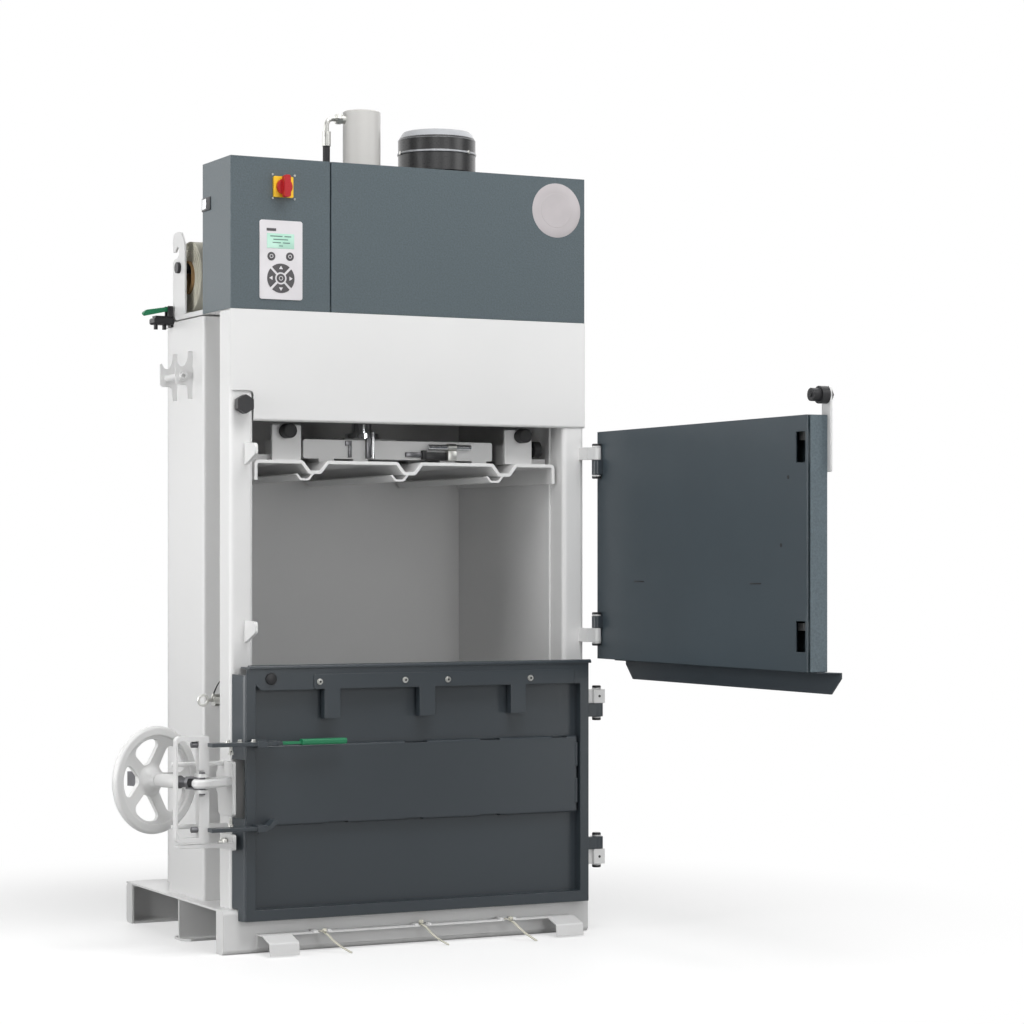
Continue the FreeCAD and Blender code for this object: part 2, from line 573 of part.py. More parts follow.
def hinges():
    """Frame knuckles with their pins, and the doors' knuckles that turn on them."""
    foot_left = HALF - 14                 # clear of the lower door's edge
    web_half = 9.0
    cap = 4.0
    frame_parts, upper_parts, lower_parts = [], [], []
    for door, door_z, frame_z in HINGE_PAIRS:
        radius = UPPER_KNUCKLE if door == "upper" else LOWER_KNUCKLE
        z0, z1 = frame_z
        if door == "upper":
            body = knuckle(radius, z0, z1)
        else:
            body = box(HINGE_X - radius, HINGE_X + radius, HINGE_Y - radius, HINGE_Y + radius, z0, z1)
            body = body.makeFillet(3.0, [e for e in body.Edges if e.BoundBox.ZLength > 10])
        web = box(foot_left, HINGE_X, HINGE_Y - web_half, HINGE_Y + web_half, z0, z1)
        foot = box(foot_left, HALF, HINGE_Y - web_half, 0, z0, z1)
        body = body.multiFuse([web, foot]).removeSplitter()
        low, high = min(door_z[0], z0) - cap, max(door_z[1], z1) + cap
        pin = knuckle(PIN_RADIUS, low, high)
        washers = [knuckle(UPPER_KNUCKLE - 0.5, z, z + cap - 1) for z in (low, high - cap + 1)]
        frame_parts.append(body.cut(hinge_bore(PIN_RADIUS, z0, z1)).multiFuse([pin] + washers))

        z0, z1 = door_z
        bore = hinge_bore(PIN_RADIUS + RUNNING_GAP, z0, z1)
        body = knuckle(radius, z0, z1)
        if door == "upper":
            arm = box(HINGE_X - radius, HINGE_X + radius, UD_BACK, HINGE_Y, z0, z1)
            upper_parts.append(opened(body.fuse(arm).cut(bore)))
        else:
            arm = box(LD_RIGHT, HINGE_X, LD_FRONT + 6, HINGE_Y + 5, z0, z1)
            lower_parts.append(body.fuse(arm).cut(bore))
    keep("frame_hinges", *frame_parts)
    keep("upper_door_hinges", *upper_parts)
    keep("lower_door_hinges", *lower_parts)


# ---------------------------------------------------------------- upper door, open at rest
def upper_door():
    """Written shut, then turned open: a pan, its inner skin, a lip below and the interlock arm."""
    skin_back = UD_BACK - UD_SHEET
    pan_back = skin_back - 5.0
    sheet = UD_SHEET
    slot_half, slot_rise = 19.0, 34.0
    slots = [box(LATCH_X - slot_half, LATCH_X + slot_half, UD_FRONT + 8, UD_BACK + 1,
                 z - slot_rise, z + slot_rise) for z in LATCH_HEIGHTS]

    outer = box(UD_LEFT, UD_RIGHT, UD_FRONT, pan_back, UD_BOTTOM, UD_TOP)
    in_left, in_right = UD_LEFT + sheet, UD_RIGHT - sheet
    in_low, in_high = UD_BOTTOM + sheet, UD_TOP - sheet
    pan = outer.cut(box(in_left, in_right, UD_FRONT + sheet, pan_back + 1, in_low, in_high))
    rim = box(in_left, in_right, pan_back - sheet, pan_back, in_low, in_high)
    opening = box(UD_LEFT + 28, UD_RIGHT - 28, pan_back - 9, pan_back + 1, UD_BOTTOM + 25, UD_TOP - 25)
    pan = pan.fuse(rim.cut(opening)).removeSplitter()
    ribs = [box(x - 2, x + 2, UD_FRONT + sheet, pan_back - sheet, in_low, in_high) for x in (-130.0, 190.0)]
    keep("upper_door_pan", opened(pan.multiFuse(ribs).cut(Part.makeCompound(slots))))

    inner = box(UD_LEFT, UD_RIGHT, skin_back, UD_BACK, UD_BOTTOM, UD_TOP)
    edge = [e for e in inner.Edges if e.BoundBox.ZLength > 100 and e.BoundBox.YMin > UD_BACK - 1]
    inner = inner.makeFillet(1.5, edge)
    spacers = [box(UD_LEFT + 6, UD_LEFT + 22, pan_back, skin_back, z - 20, z + 20) for z in (850, 960, 1070)]
    spacers += [box(UD_LEFT + 40, UD_RIGHT - 10, pan_back, skin_back, z, z + 14)
                for z in (UD_BOTTOM + 4, UD_TOP - 18)]
    spacers.append(box(UD_RIGHT - 22, UD_RIGHT - 6, pan_back, skin_back, UD_BOTTOM + 30, UD_TOP - 30))
    keep("upper_door_skin", opened(inner.multiFuse(spacers).cut(Part.makeCompound(slots))))

    face_y = HINGE_Y - 79.0
    lip_left, lip_right = UD_LEFT - 36, HINGE_X - 15
    lip = plate([(lip_left, 674), (lip_right, 674), (lip_right, 661), (lip_right - 35, 625),
                 (lip_left + 39, 625), (lip_left, 661)], "XZ", face_y, face_y + 4)
    flange = plate([(lip_left, face_y + 4), (lip_right, face_y + 4), (lip_right - 6, UD_FRONT + 24),
                    (UD_LEFT + 2, UD_FRONT + 24)], "XY", 671, 674)
    joint = box(UD_LEFT + 2, HINGE_X - 60, UD_FRONT + 4, UD_FRONT + 24, 674, UD_BOTTOM)
    keep("deflector_lip", opened(lip.multiFuse([flange, joint])))

    arm_x, knob_z = -445.5, 1282.0
    arm_half, neck_radius = 17.0, 8.0
    arm = plate([(arm_x - arm_half, 1113, 6), (arm_x + arm_half, 1113, 6), (arm_x + arm_half, 1301, 10),
                 (arm_x - arm_half, 1301, 10)], "XZ", UD_FRONT - 5, UD_FRONT)
    hole = rod(neck_radius + FIT_GAP, (arm_x, UD_FRONT - 6, knob_z), (arm_x, UD_FRONT + 1, knob_z))
    keep("interlock_bracket", opened(arm.cut(hole)))
    stack = [(neck_radius, -11, 0), (19.5, 0, 20), (14.5, 20, 40), (5.0, 40, 43)]
    turned = [rod(radius, (arm_x, UD_FRONT + y0, knob_z), (arm_x, UD_FRONT + y1, knob_z))
              for radius, y0, y1 in stack]
    nut = plate(hexagon(arm_x, knob_z, 13.0, 0.0, 0), "XZ", UD_FRONT - 12, UD_FRONT - 5)
    keep("interlock_knob", opened(turned[0].multiFuse(turned[1:] + [nut])))


# ---------------------------------------------------------------- lower door, closed at rest
def lower_door():
    """A bordered frame folded round a recessed skin, with a raised middle panel and three strap hangers."""
    border = LD_BORDER
    sheet = 3.0
    inner_left, inner_right = LD_LEFT + border, LD_RIGHT - border
    sill_clear = DECK_TOP + 2             # below this the door stays in front of the sill

    face = plate([(LD_LEFT, LD_BOTTOM), (LD_RIGHT, LD_BOTTOM), (LD_RIGHT, LD_TOP), (LD_LEFT, LD_TOP)],
                 "XZ", LD_FRONT, LD_FRONT + sheet)
    window = plate([(inner_left, LD_BOTTOM + 26, 3), (inner_right, LD_BOTTOM + 26, 3),
                    (inner_right, BAND_BOTTOM, 3), (LD_LEFT + 36, BAND_BOTTOM),
                    (inner_left, BAND_BOTTOM + 13)],
                   "XZ", LD_FRONT - 1, LD_FRONT + sheet + 1)
    roll_y = LD_FRONT + sheet / 2
    roll = folded([(inner_left, roll_y), (LD_LEFT - 2, roll_y), (LD_ROLL + 1.5, LD_BACK)],
                  sheet, 12.0, "XY", LD_BOTTOM, LD_TOP - 14)
    right_rim = box(LD_RIGHT - sheet, LD_RIGHT, LD_FRONT, LD_BACK, LD_BOTTOM, LD_TOP)
    top_rim = box(inner_left, LD_RIGHT, LD_FRONT, LD_BACK, LD_TOP - sheet, LD_TOP)
    low_rim = box(inner_left, LD_RIGHT, LD_FRONT, LD_BACK, LD_BOTTOM, LD_BOTTOM + sheet)
    returns = [box(x, x + sheet, LD_FRONT + sheet, LD_SKIN_FRONT, LD_BOTTOM, LD_TOP)
               for x in (inner_left - sheet, inner_right)]
    ledge = box(inner_left, inner_right, LD_FRONT + sheet, LD_SKIN_FRONT, LD_BOTTOM + 23, LD_BOTTOM + 26)
    nose_front, nose_back = LD_FRONT - 3, LD_FRONT + 11
    nose = plate([(nose_front, LD_TOP - 1), (nose_front, LD_TOP + 8, 6.5), (nose_back, LD_TOP + 8, 6.5),
                  (nose_back, LD_TOP - 1)], "YZ", LD_LEFT + 6, LD_RIGHT + 6)
    top_rail = box(LD_LEFT + 6, LD_RIGHT - 2, nose_back - 1, LD_BACK, LD_TOP - 1, LD_TOP + sheet)
    frame = face.cut(window).multiFuse([roll, right_rim, top_rim, low_rim, ledge, nose, top_rail] + returns)
    lug_notch = box(LD_ROLL - 10, LD_LEFT - 2, LD_FRONT - 1, LD_BACK + 5, 319, 455)
    sill_notch = box(LD_ROLL - 10, LD_RIGHT + 1, BASE_FRONT - 1.5, LD_BACK + 5, LD_BOTTOM - 1, sill_clear)
    keep("lower_door_frame", frame.cut(Part.makeCompound([lug_notch, sill_notch])))

    skin = box(inner_left, inner_right, LD_SKIN_FRONT, LD_SKIN_FRONT + sheet, LD_BOTTOM + 3.2, LD_TOP - 3.2)
    stiff = [box(x - 2, x + 2, LD_SKIN_FRONT + sheet, LD_BACK - 2, sill_clear, LD_TOP - 30)
             for x in (-300.0, -110.0, 90.0, 290.0)]
    keep("lower_door_skin", skin.multiFuse(stiff))

    low, high = RAISED_BAND
    left, right = inner_left + 2, inner_right - 6
    front = -46.0
    raised = folded([(LD_SKIN_FRONT, low + 1.5), (front + 1.5, low + 1.5), (front + 1.5, high - 1.5),
                     (LD_SKIN_FRONT, high - 1.5)], sheet, 2.0, "YZ", left, right)
    top_cuts = [box(x0, x1, front - 2, LD_SKIN_FRONT - 1, high - 4, high + 1)
                for x0, x1 in ((-41, 17), (159, 213), (356, 398))]
    low_cuts = [box(x0, x1, front - 2, LD_SKIN_FRONT - 1, low - 1, low + 4)
                for x0, x1 in ((-241, -190), (-41, 6), (159, 213))]
    knuckles = [rod(5.5, (right - 0.5, front + 3, z0), (right - 0.5, front + 3, z1))
                for z0, z1 in ((322, 382), (412, 470))]
    keep("raised_panel", raised.cut(Part.makeCompound(top_cuts + low_cuts)).multiFuse(knuckles))

    half, band_top, strip_end = 20.5, BAND_BOTTOM + 36, 412.0
    strip_low = BAND_BOTTOM + 1
    hook_line = [(HANGER_LANES[0] - half - 26, band_top, 5), (HANGER_LANES[0] - half - 26, strip_low, 4)]
    for x in HANGER_LANES:
        hook_line += [(x - half, strip_low, 2), (x - half, HANGER_BOTTOM, 2),
                      (x + half, HANGER_BOTTOM, 2), (x + half, strip_low, 2)]
    hook_line += [(strip_end, strip_low), (strip_end, band_top)]
    strip = plate(hook_line, "XZ", LD_FRONT - sheet, LD_FRONT)
    sides = [box(x - half, x - half + sheet, LD_FRONT, LD_SKIN_FRONT - 6, HANGER_BOTTOM, BAND_BOTTOM - 1)
             for x in HANGER_LANES]
    keep("strap_hangers", strip.multiFuse(sides))


def press():
    """The pressing plate, folded with raised fields and strap channels, its beam, rod, guides and buffers."""
    t = PLATE_THICK
    high_line, low_line = PLATE_TOP - t / 2, PLATE_LOW - t / 2
    line = [(PLATE_LEFT + t / 2, PLATE_SKIRT), (PLATE_LEFT + t / 2, high_line)]
    for x in PRESS_LANES:
        line += [(x - 32, high_line), (x - 13, low_line), (x + 15, low_line), (x + 34, high_line)]
    line += [(PLATE_RIGHT - t / 2, high_line), (PLATE_RIGHT - t / 2, PLATE_SKIRT)]
    body = folded(line, t, 4.0, "XZ", PLATE_FRONT, PLATE_BACK)
    channels = [folded([(x - 46, PLATE_LOW - 9), (x - 36, PLATE_SKIRT + 3), (x - 15, PLATE_SKIRT + 3),
                        (x - 4, low_line - 3)], 5.0, 2.0, "XZ", PLATE_FRONT, PLATE_BACK) for x in PRESS_LANES]
    keep("press_plate", body.multiFuse(channels))

    beam_left, beam_right, beam_top = -250.0, 256.0, 1210.0
    near, far = 84.0, 440.0
    beam = box(beam_left, beam_right, near, near + 66, PLATE_TOP + 7, beam_top)
    beam = beam.makeFillet(5.0, [e for e in beam.Edges if e.BoundBox.YLength > 10])
    feet = [box(x - 20, x + 20, near, near + 66, PLATE_TOP, PLATE_TOP + 8) for x in (-190, -100, 133, 220)]
    rear_beam = box(beam_left, beam_right, far, far + 66, PLATE_TOP, beam_top)
    cheeks = [box(x, x + 12, near + 66, far, PLATE_TOP, beam_top - 5) for x in (-70, 58)]
    seat = box(-70, 70, 250, 358, beam_top - 5, 1222)
    keep("press_beam", beam.multiFuse(feet + [rear_beam, seat] + cheeks))
    rod_body = Part.makeCylinder(ROD_RADIUS, 1985 - 1222, V(PRESS_X, PRESS_Y, 1222))
    collar = Part.makeCylinder(42, 14, V(PRESS_X, PRESS_Y, 1222))
    keep("piston_rod", rod_body.fuse(collar))

    middle, block_in, block_out = 8.0, 273.0, 347.0
    block_front, block_top, buffer_z = 62.0, 1242.0, 1227.0
    blocks, buffers = [], []
    for side in (-1, 1):
        x0, x1 = sorted((middle + side * block_in, middle + side * block_out))
        face = plate([(x0, PLATE_TOP), (x1, PLATE_TOP), (x1, block_top, 3), (x0, block_top, 3)],
                     "XZ", block_front, block_front + 8)
        shoe = box(x0 + 8, x1 - 8, block_front + 8, 130, PLATE_TOP, 1206)
        wall_x = PLATE_LEFT - 4 if side < 0 else PLATE_RIGHT + 1
        guide_ends = sorted((wall_x, x0 + 8 if side < 0 else x1 - 8))
        guide = box(guide_ends[0], guide_ends[1], 84, 120, PLATE_TOP, 1172)
        blocks.append(face.multiFuse([shoe, guide]))
        buffer_x = middle + side * 314
        washer = rod(16, (buffer_x, block_front - 3, buffer_z), (buffer_x, block_front, buffer_z))
        cap = rod(17.6, (buffer_x, 25, buffer_z), (buffer_x, block_front - 6, buffer_z))
        neck = rod(9, (buffer_x, block_front - 6, buffer_z), (buffer_x, block_front - 3, buffer_z))
        cap = cap.makeFillet(5.0, [e for e in cap.Edges if e.BoundBox.YMax < 26])
        buffers.append(cap.multiFuse([neck, washer]))
    keep("guide_blocks", *blocks)
    roller_y, roller_z = 74.0, 1195.0
    roller = rod(20, (362, roller_y, roller_z), (380, roller_y, roller_z))
    axle = rod(6, (middle + block_out, roller_y, roller_z), (384, roller_y, roller_z))
    keep("press_buffers", *(buffers + [roller.fuse(axle)]))


# ---------------------------------------------------------------- lock
def lock():
    pin_x, pin_y = LOCK_PIN
    face = -HALF
    lug = plate([(-38, 325, 6), (52, 325, 6), (58, 372, 4), (66, 376, 6), (66, 422, 6), (58, 426, 4),
                 (52, 450, 6), (-38, 450, 6)], "YZ", face - 9, face)
    low, high = LOCK_Z - TONGUE / 2, LOCK_Z + TONGUE / 2
    tongue = plate([(face - 9, -36), (face - 9, 12), (pin_x, pin_y + 22), (pin_x, pin_y - 22),
                    (face - 30, -54)], "XY", low, high)
    disc = Part.makeCylinder(24, TONGUE, V(pin_x, pin_y, low))
    disc = disc.makeChamfer(5.0, [e for e in disc.Edges if e.BoundBox.ZLength < 0.1])
    tongue = tongue.makeChamfer(4.0, [e for e in tongue.Edges if e.BoundBox.ZLength < 0.1
                                      and e.BoundBox.XLength > 20]).fuse(disc)
    bore = Part.makeCylinder(LOCK_PIN_RADIUS + RUNNING_GAP, 2 * TONGUE, V(pin_x, pin_y, LOCK_Z - TONGUE))
    rest_foot = plate([(-40, 245, 5), (34, 245, 5), (34, 281, 5), (-40, 281, 5)], "YZ", face - 8, face)
    rest_arm = plate([(face - 8, 252), (face - 8, 264), (-618, 264, 3), (-618, 257, 3)], "XZ", -50, -30)
    keep("lock_tongue", lug.fuse(tongue).cut(bore), rest_foot.fuse(rest_arm))

    front, back = -52.0, -32.0
    left, right = -622.0, -541.0
    low_z, high_z = 269.0, 514.0
    outer = plate([(left, low_z, 12), (right, low_z, 3), (right, high_z, 3), (left, high_z, 12)],
                  "XZ", front, back)
    inner = plate([(left + 5, low_z + 11, 8), (right - 25, low_z + 11, 3), (right - 25, high_z - 11, 3),
                   (left + 5, high_z - 11, 8)], "XZ", front - 1, back + 1)
    gap_half = FORK_HALF
    gap = box(right - 26, right + 1, front - 1, back + 1, LOCK_Z - gap_half, LOCK_Z + gap_half)
    ears = []
    for z in (LOCK_Z + gap_half, LOCK_Z - gap_half - 8):
        ear = plate([(pin_x - 11, pin_y - 11, 8), (pin_x + 11, pin_y - 11, 8), (pin_x + 11, back),
                     (pin_x - 11, back)], "XY", z, z + 8)
        ears.append(ear)
    pin_hole = Part.makeCylinder(LOCK_PIN_RADIUS + FIT_GAP, 60, V(pin_x, pin_y, LOCK_Z - 30))
    keep("lock_yoke", outer.cut(inner).cut(gap).multiFuse(ears).cut(pin_hole))

    reach_x, reach_y = WHEEL_CENTRE[0] - pin_x, WHEEL_CENTRE[1] - pin_y
    reach = math.hypot(reach_x, reach_y)
    azimuth = math.degrees(math.atan2(-reach_x, reach_y))

    def swung(shape):
        """Moves a piece written along +Y from the lock pin onto the spindle's line."""
        shape = shape.copy()
        shape.rotate(V(0, 0, 0), V(0, 0, 1), azimuth)
        shape.translate(V(pin_x, pin_y, LOCK_Z))
        return shape

    inside = TONGUE / 2 + 0.5
    arm = [(-10, 46), (-10, 0, 9), (0, -11, 9), (10, 0, 9), (10, 46)]
    fork = [plate(arm, "XY", z, z + FORK_HALF - inside) for z in (inside, -FORK_HALF)]
    web = rod(FORK_HALF, (0, 36, 0), (0, 46, 0))
    thread = rod(9.5, (0, 46, 0), (0, 76, 0))
    sleeve = rod(15, (0, 76, 0), (0, reach - 13, 0))
    journal = rod(9, (0, reach - 13, 0), (0, reach + 62, 0))
    end_block = box(-16, 16, reach + 52, reach + 80, -17, 17)
    pin = Part.makeCylinder(LOCK_PIN_RADIUS, 2 * FORK_HALF + 24, V(0, 0, -FORK_HALF - 12))
    keep("lock_spindle", swung(thread.multiFuse([sleeve, journal, end_block, web, pin] + fork)))

    neck_y = -12.0                        # the hub flares forward into a neck that meets the sleeve
    hub_back = WHEEL_DISH + 14.0
    rim_in, rim_half = WHEEL_RADIUS - 22, 10.0
    profile = outline([(0, neck_y), (15.5, neck_y, 1.5), (18, 0, 12), (32, 16, 14), (rim_in - 2, -5),
                       (rim_in, -rim_half, 3), (WHEEL_RADIUS - 4.5, -rim_half, 6), (WHEEL_RADIUS, 0, 8),
                       (WHEEL_RADIUS - 4.5, rim_half, 6), (rim_in, rim_half, 3), (rim_in - 2, 5), (34, 28, 8),
                       (24, hub_back, 5), (0, hub_back)], "XY", 0)
    wheel = Part.Face(profile).revolve(V(0, 0, 0), V(0, 1, 0), 360)
    if wheel.Volume < 0:
        wheel.reverse()
    holes = []
    for index in range(5):
        hole = plate([(-37, -9, 8), (-37, 9, 8), (-84, 45, 15), (-103, 0, 60), (-84, -45, 15)], "XZ", -40, 60)
        hole.rotate(V(0, 0, 0), V(0, 1, 0), index * 72.0)
        holes.append(hole)
    wheel = wheel.cut(Part.makeCompound(holes)).cut(rod(9 + RUNNING_GAP, (0, -60, 0), (0, 80, 0)))
    wheel.translate(V(0, reach, 0))
    keep("handwheel", swung(wheel))


def lock_bars():
    """Two bars across the lower door's left rim; the upper one ends in a fork for the release lever."""
    front, back = -90.0, -60.0
    half = 4.5
    left_end, pivot_x = -548.0, -385.0
    upper_z, lower_z = BAR_HEIGHTS
    cheek = 9.0

    upper = box(left_end, pivot_x - 12, front, back, upper_z - half, upper_z + half)
    fork = [plate([(pivot_x - 14, upper_z - half - 1), (pivot_x + 12, upper_z - half - 1, 5),
                   (pivot_x + 12, upper_z + half + 1, 5), (pivot_x - 14, upper_z + half + 1)],
                  "XZ", y, y + cheek)
            for y in (front, back - cheek)]
    pin = rod(3, (pivot_x, front - 2, upper_z), (pivot_x, back + 2, upper_z))
    lower = plate([(left_end, lower_z - half), (left_end, lower_z + half), (-410, lower_z + half, 8),
                   (-392, lower_z + 20, 3), (-382, lower_z + 14, 3), (-404, lower_z - half, 8)],
                  "XZ", front, back)
    keepers = []
    for z in BAR_HEIGHTS:
        strap = box(-436, -414, front - 3, LD_FRONT, z - 8, z + 8)
        keepers.append(strap.cut(box(-437, -413, front, back, z - half, z + half)))
    keep("lock_bars", upper.multiFuse(fork + [pin, keepers[0]]), lower.fuse(keepers[1]))

    grip_start, grip_end = -322.0, -209.0
    thin = plate([(pivot_x - 6, upper_z - 4, 3), (grip_start + 2, upper_z - 3), (grip_start + 2, upper_z + 3),
                  (pivot_x - 6, upper_z + 4, 3)], "XZ", front + cheek + 0.5, back - cheek - 0.5)
    thin = thin.cut(rod(3 + RUNNING_GAP, (pivot_x, front, upper_z), (pivot_x, back, upper_z)))
    grip = box(grip_start, grip_end, front + 5, back - 5, upper_z - 6, upper_z + 8)
    grip = grip.makeFillet(5.0, [e for e in grip.Edges if e.BoundBox.XLength > 50])
    keep("release_lever", thin.fuse(grip))


# ---------------------------------------------------------------- strap rail at the sill
def strap_rail():
    top, sheet = 46.0, 3.0
    sill = BASE_FRONT
    left, right = -413.0, 410.0
    middle_front, ear_front = -62.0, -110.0
    flange = box(left, right, sill - sheet, sill, 12, top)
    middle = box(left, right, middle_front, sill - sheet, top - sheet, top)
    ears = [folded([(middle_front + 2, top - sheet / 2), (ear_front + 6, 31.5), (ear_front + 2, 4.0)],
                   sheet, 3.0, "YZ", x0, x0 + 74) for x0 in (left, right - 74)]
    notches = [plate([(x - 11, middle_front - 1), (x + 11, middle_front - 1), (x + 7, middle_front + 16, 5),
                      (x - 7, middle_front + 16, 5)], "XY", top - 10, top + 5) for x in STRAP_LANES]
    clips = [box(x + side * 17 - 5, x + side * 17 + 5, middle_front + 6, sill - sheet, top, top + 4)
             for x in STRAP_LANES for side in (-1, 1)]
    keep("strap_rail", flange.multiFuse([middle] + ears + clips).cut(Part.makeCompound(notches)))

    tails = []
    for route, knot in zip(STRAP_ROUTES, STRAP_KNOTS):
        ball = Part.makeSphere(KNOT_RADIUS, V(*knot), V(1, 0, 0))   # its seam clear of the ribbon
        tails.append(ribbon_along([V(*point) for point in route], STRAP_WIDTH, STRAP_THICK).fuse(ball))
    keep("strap_tails", *tails)


def build():
    base()
    frame_walls()
    header()
    covers()
    controls()
    hydraulics()
    strap_roll()
    column_fittings()
    hinges()
    upper_door()
    lower_door()
    press()
    lock()
    lock_bars()
    strap_rail()


build()
os.makedirs("parts", exist_ok=True)
for name, shape in NODES.items():
    shape.exportStep("parts/" + name + ".step")
print(len(NODES), "nodes")
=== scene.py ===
"""Studio picture of a vertical recycling baler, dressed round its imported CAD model.

Metres, in the CAD model's frame: +X right, +Y into the machine, +Z up, floor at Z = 0.
"""

import json
import math

import bmesh
import bpy
from mathutils import Matrix, Vector


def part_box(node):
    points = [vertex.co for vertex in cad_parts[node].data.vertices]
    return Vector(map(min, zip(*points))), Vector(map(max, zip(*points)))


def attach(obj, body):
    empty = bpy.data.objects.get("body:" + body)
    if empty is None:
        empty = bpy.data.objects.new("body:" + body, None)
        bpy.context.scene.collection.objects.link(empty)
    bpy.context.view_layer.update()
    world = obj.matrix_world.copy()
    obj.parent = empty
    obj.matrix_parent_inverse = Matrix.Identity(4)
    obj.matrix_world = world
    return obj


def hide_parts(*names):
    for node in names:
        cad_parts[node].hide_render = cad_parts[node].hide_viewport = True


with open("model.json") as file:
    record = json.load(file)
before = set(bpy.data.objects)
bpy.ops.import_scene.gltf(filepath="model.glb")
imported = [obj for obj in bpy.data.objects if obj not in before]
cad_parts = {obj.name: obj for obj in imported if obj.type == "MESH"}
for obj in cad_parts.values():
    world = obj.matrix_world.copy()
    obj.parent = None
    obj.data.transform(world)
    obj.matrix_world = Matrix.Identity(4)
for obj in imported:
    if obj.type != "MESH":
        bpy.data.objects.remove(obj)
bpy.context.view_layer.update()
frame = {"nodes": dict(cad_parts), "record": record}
nodes = frame["nodes"]
MM = 0.001


# ---------------------------------------------------------------- finishes
def finish_tree(name):
    """A new material with its Principled shader and the Object coordinates."""
    material = bpy.data.materials.new(name)
    material.use_nodes = True
    tree = material.node_tree
    shader = tree.nodes["Principled BSDF"]
    coordinates = tree.nodes.new("ShaderNodeTexCoord").outputs["Object"]
    return material, tree, shader, coordinates


def noise(tree, coordinates, scale, detail=3.0, stretch=(1.0, 1.0, 1.0)):
    """Noise over the piece, finer along an axis where stretch is larger."""
    mapping = tree.nodes.new("ShaderNodeMapping")
    mapping.inputs["Scale"].default_value = stretch
    tree.links.new(coordinates, mapping.inputs["Vector"])
    texture = tree.nodes.new("ShaderNodeTexNoise")
    texture.inputs["Scale"].default_value = scale
    texture.inputs["Detail"].default_value = detail
    tree.links.new(mapping.outputs["Vector"], texture.inputs["Vector"])
    return texture.outputs["Fac"]


def spread(tree, value, low, high):
    """The middle of a noise stretched to run from low to high."""
    node = tree.nodes.new("ShaderNodeMapRange")
    node.inputs["From Min"].default_value = 0.3
    node.inputs["From Max"].default_value = 0.7
    node.inputs["To Min"].default_value = low
    node.inputs["To Max"].default_value = high
    tree.links.new(value, node.inputs["Value"])
    return node.outputs["Result"]


def mixed(tree, factor, first, second):
    """A colour between two, by a factor from 0 to 1."""
    node = tree.nodes.new("ShaderNodeMix")
    node.data_type = "RGBA"
    node.inputs["A"].default_value = (*first, 1.0)
    node.inputs["B"].default_value = (*second, 1.0)
    tree.links.new(factor, node.inputs["Factor"])
    return node.outputs["Result"]


def relief(tree, height, depth, edge=0.0):
    """A bump of that depth in metres, over edges that look rounded to a radius."""
    bump = tree.nodes.new("ShaderNodeBump")
    bump.inputs["Strength"].default_value = 1.0
    bump.inputs["Distance"].default_value = depth
    tree.links.new(height, bump.inputs["Height"])
    if edge > 0.0:
        rounding = tree.nodes.new("ShaderNodeBevel")
        rounding.samples = 4
        rounding.inputs["Radius"].default_value = edge
        tree.links.new(rounding.outputs["Normal"], bump.inputs["Normal"])
    return bump.outputs["Normal"]


def shade(colour, factor):
    """A colour made darker or lighter by a factor."""
    return tuple(channel * factor for channel in colour)


def powder_coat(name, colour, grain, depth, roughness, edge=0.0015, drift=0.04, gloss=0.5):
    """Baked paint: even colour with a slow drift, and an orange peel of that many cells a metre."""
    material, tree, shader, place = finish_tree(name)
    shader.inputs["Specular IOR Level"].default_value = gloss
    slow = spread(tree, noise(tree, place, 3.0, 2.0), 0.0, 1.0)
    tree.links.new(mixed(tree, slow, shade(colour, 1.0 - drift), shade(colour, 1.0 + drift)),
                   shader.inputs["Base Color"])
    fine = noise(tree, place, grain, 2.0)
    tree.links.new(spread(tree, fine, roughness - 0.05, roughness + 0.05), shader.inputs["Roughness"])
    tree.links.new(relief(tree, fine, depth, edge), shader.inputs["Normal"])
    return material


def structure_paint(name, colour):
    """Textured baked paint: raised grains about four millimetres apart, with finer ones between."""
    material, tree, shader, place = finish_tree(name)
    shader.inputs["Specular IOR Level"].default_value = 0.7
    grains = noise(tree, place, 260.0, 5.0)
    tree.links.new(mixed(tree, spread(tree, grains, 0.0, 1.0), shade(colour, 0.80), shade(colour, 1.18)),
                   shader.inputs["Base Color"])
    tree.links.new(spread(tree, grains, 0.36, 0.50), shader.inputs["Roughness"])
    tree.links.new(relief(tree, grains, 0.0006, 0.0015), shader.inputs["Normal"])
    return material


def bare_metal(name, colour, roughness, streak=(1.0, 1.0, 1.0), scale=60.0, depth=0.00003):
    """Plated or ground steel, faintly mottled, or streaked along an axis where streak is small."""
    material, tree, shader, place = finish_tree(name)
    shader.inputs["Metallic"].default_value = 1.0
    lines = noise(tree, place, scale, 4.0, streak)
    tree.links.new(mixed(tree, spread(tree, lines, 0.0, 1.0), shade(colour, 0.86), colour),
                   shader.inputs["Base Color"])
    tree.links.new(spread(tree, lines, roughness * 0.8, roughness * 1.25), shader.inputs["Roughness"])
    tree.links.new(relief(tree, lines, depth, 0.0006), shader.inputs["Normal"])
    return material


def moulded(name, colour, roughness, grain=900.0, depth=0.00002, edge=0.0008):
    """Moulded plastic or rubber with a fine matt grain."""
    material, tree, shader, place = finish_tree(name)
    grains = noise(tree, place, grain, 2.0)
    patches = spread(tree, noise(tree, place, 12.0, 3.0), 0.0, 1.0)
    tree.links.new(mixed(tree, patches, shade(colour, 0.93), shade(colour, 1.05)),
                   shader.inputs["Base Color"])
    tree.links.new(spread(tree, grains, roughness - 0.06, roughness + 0.06), shader.inputs["Roughness"])
    tree.links.new(relief(tree, grains, depth, edge), shader.inputs["Normal"])
    return material


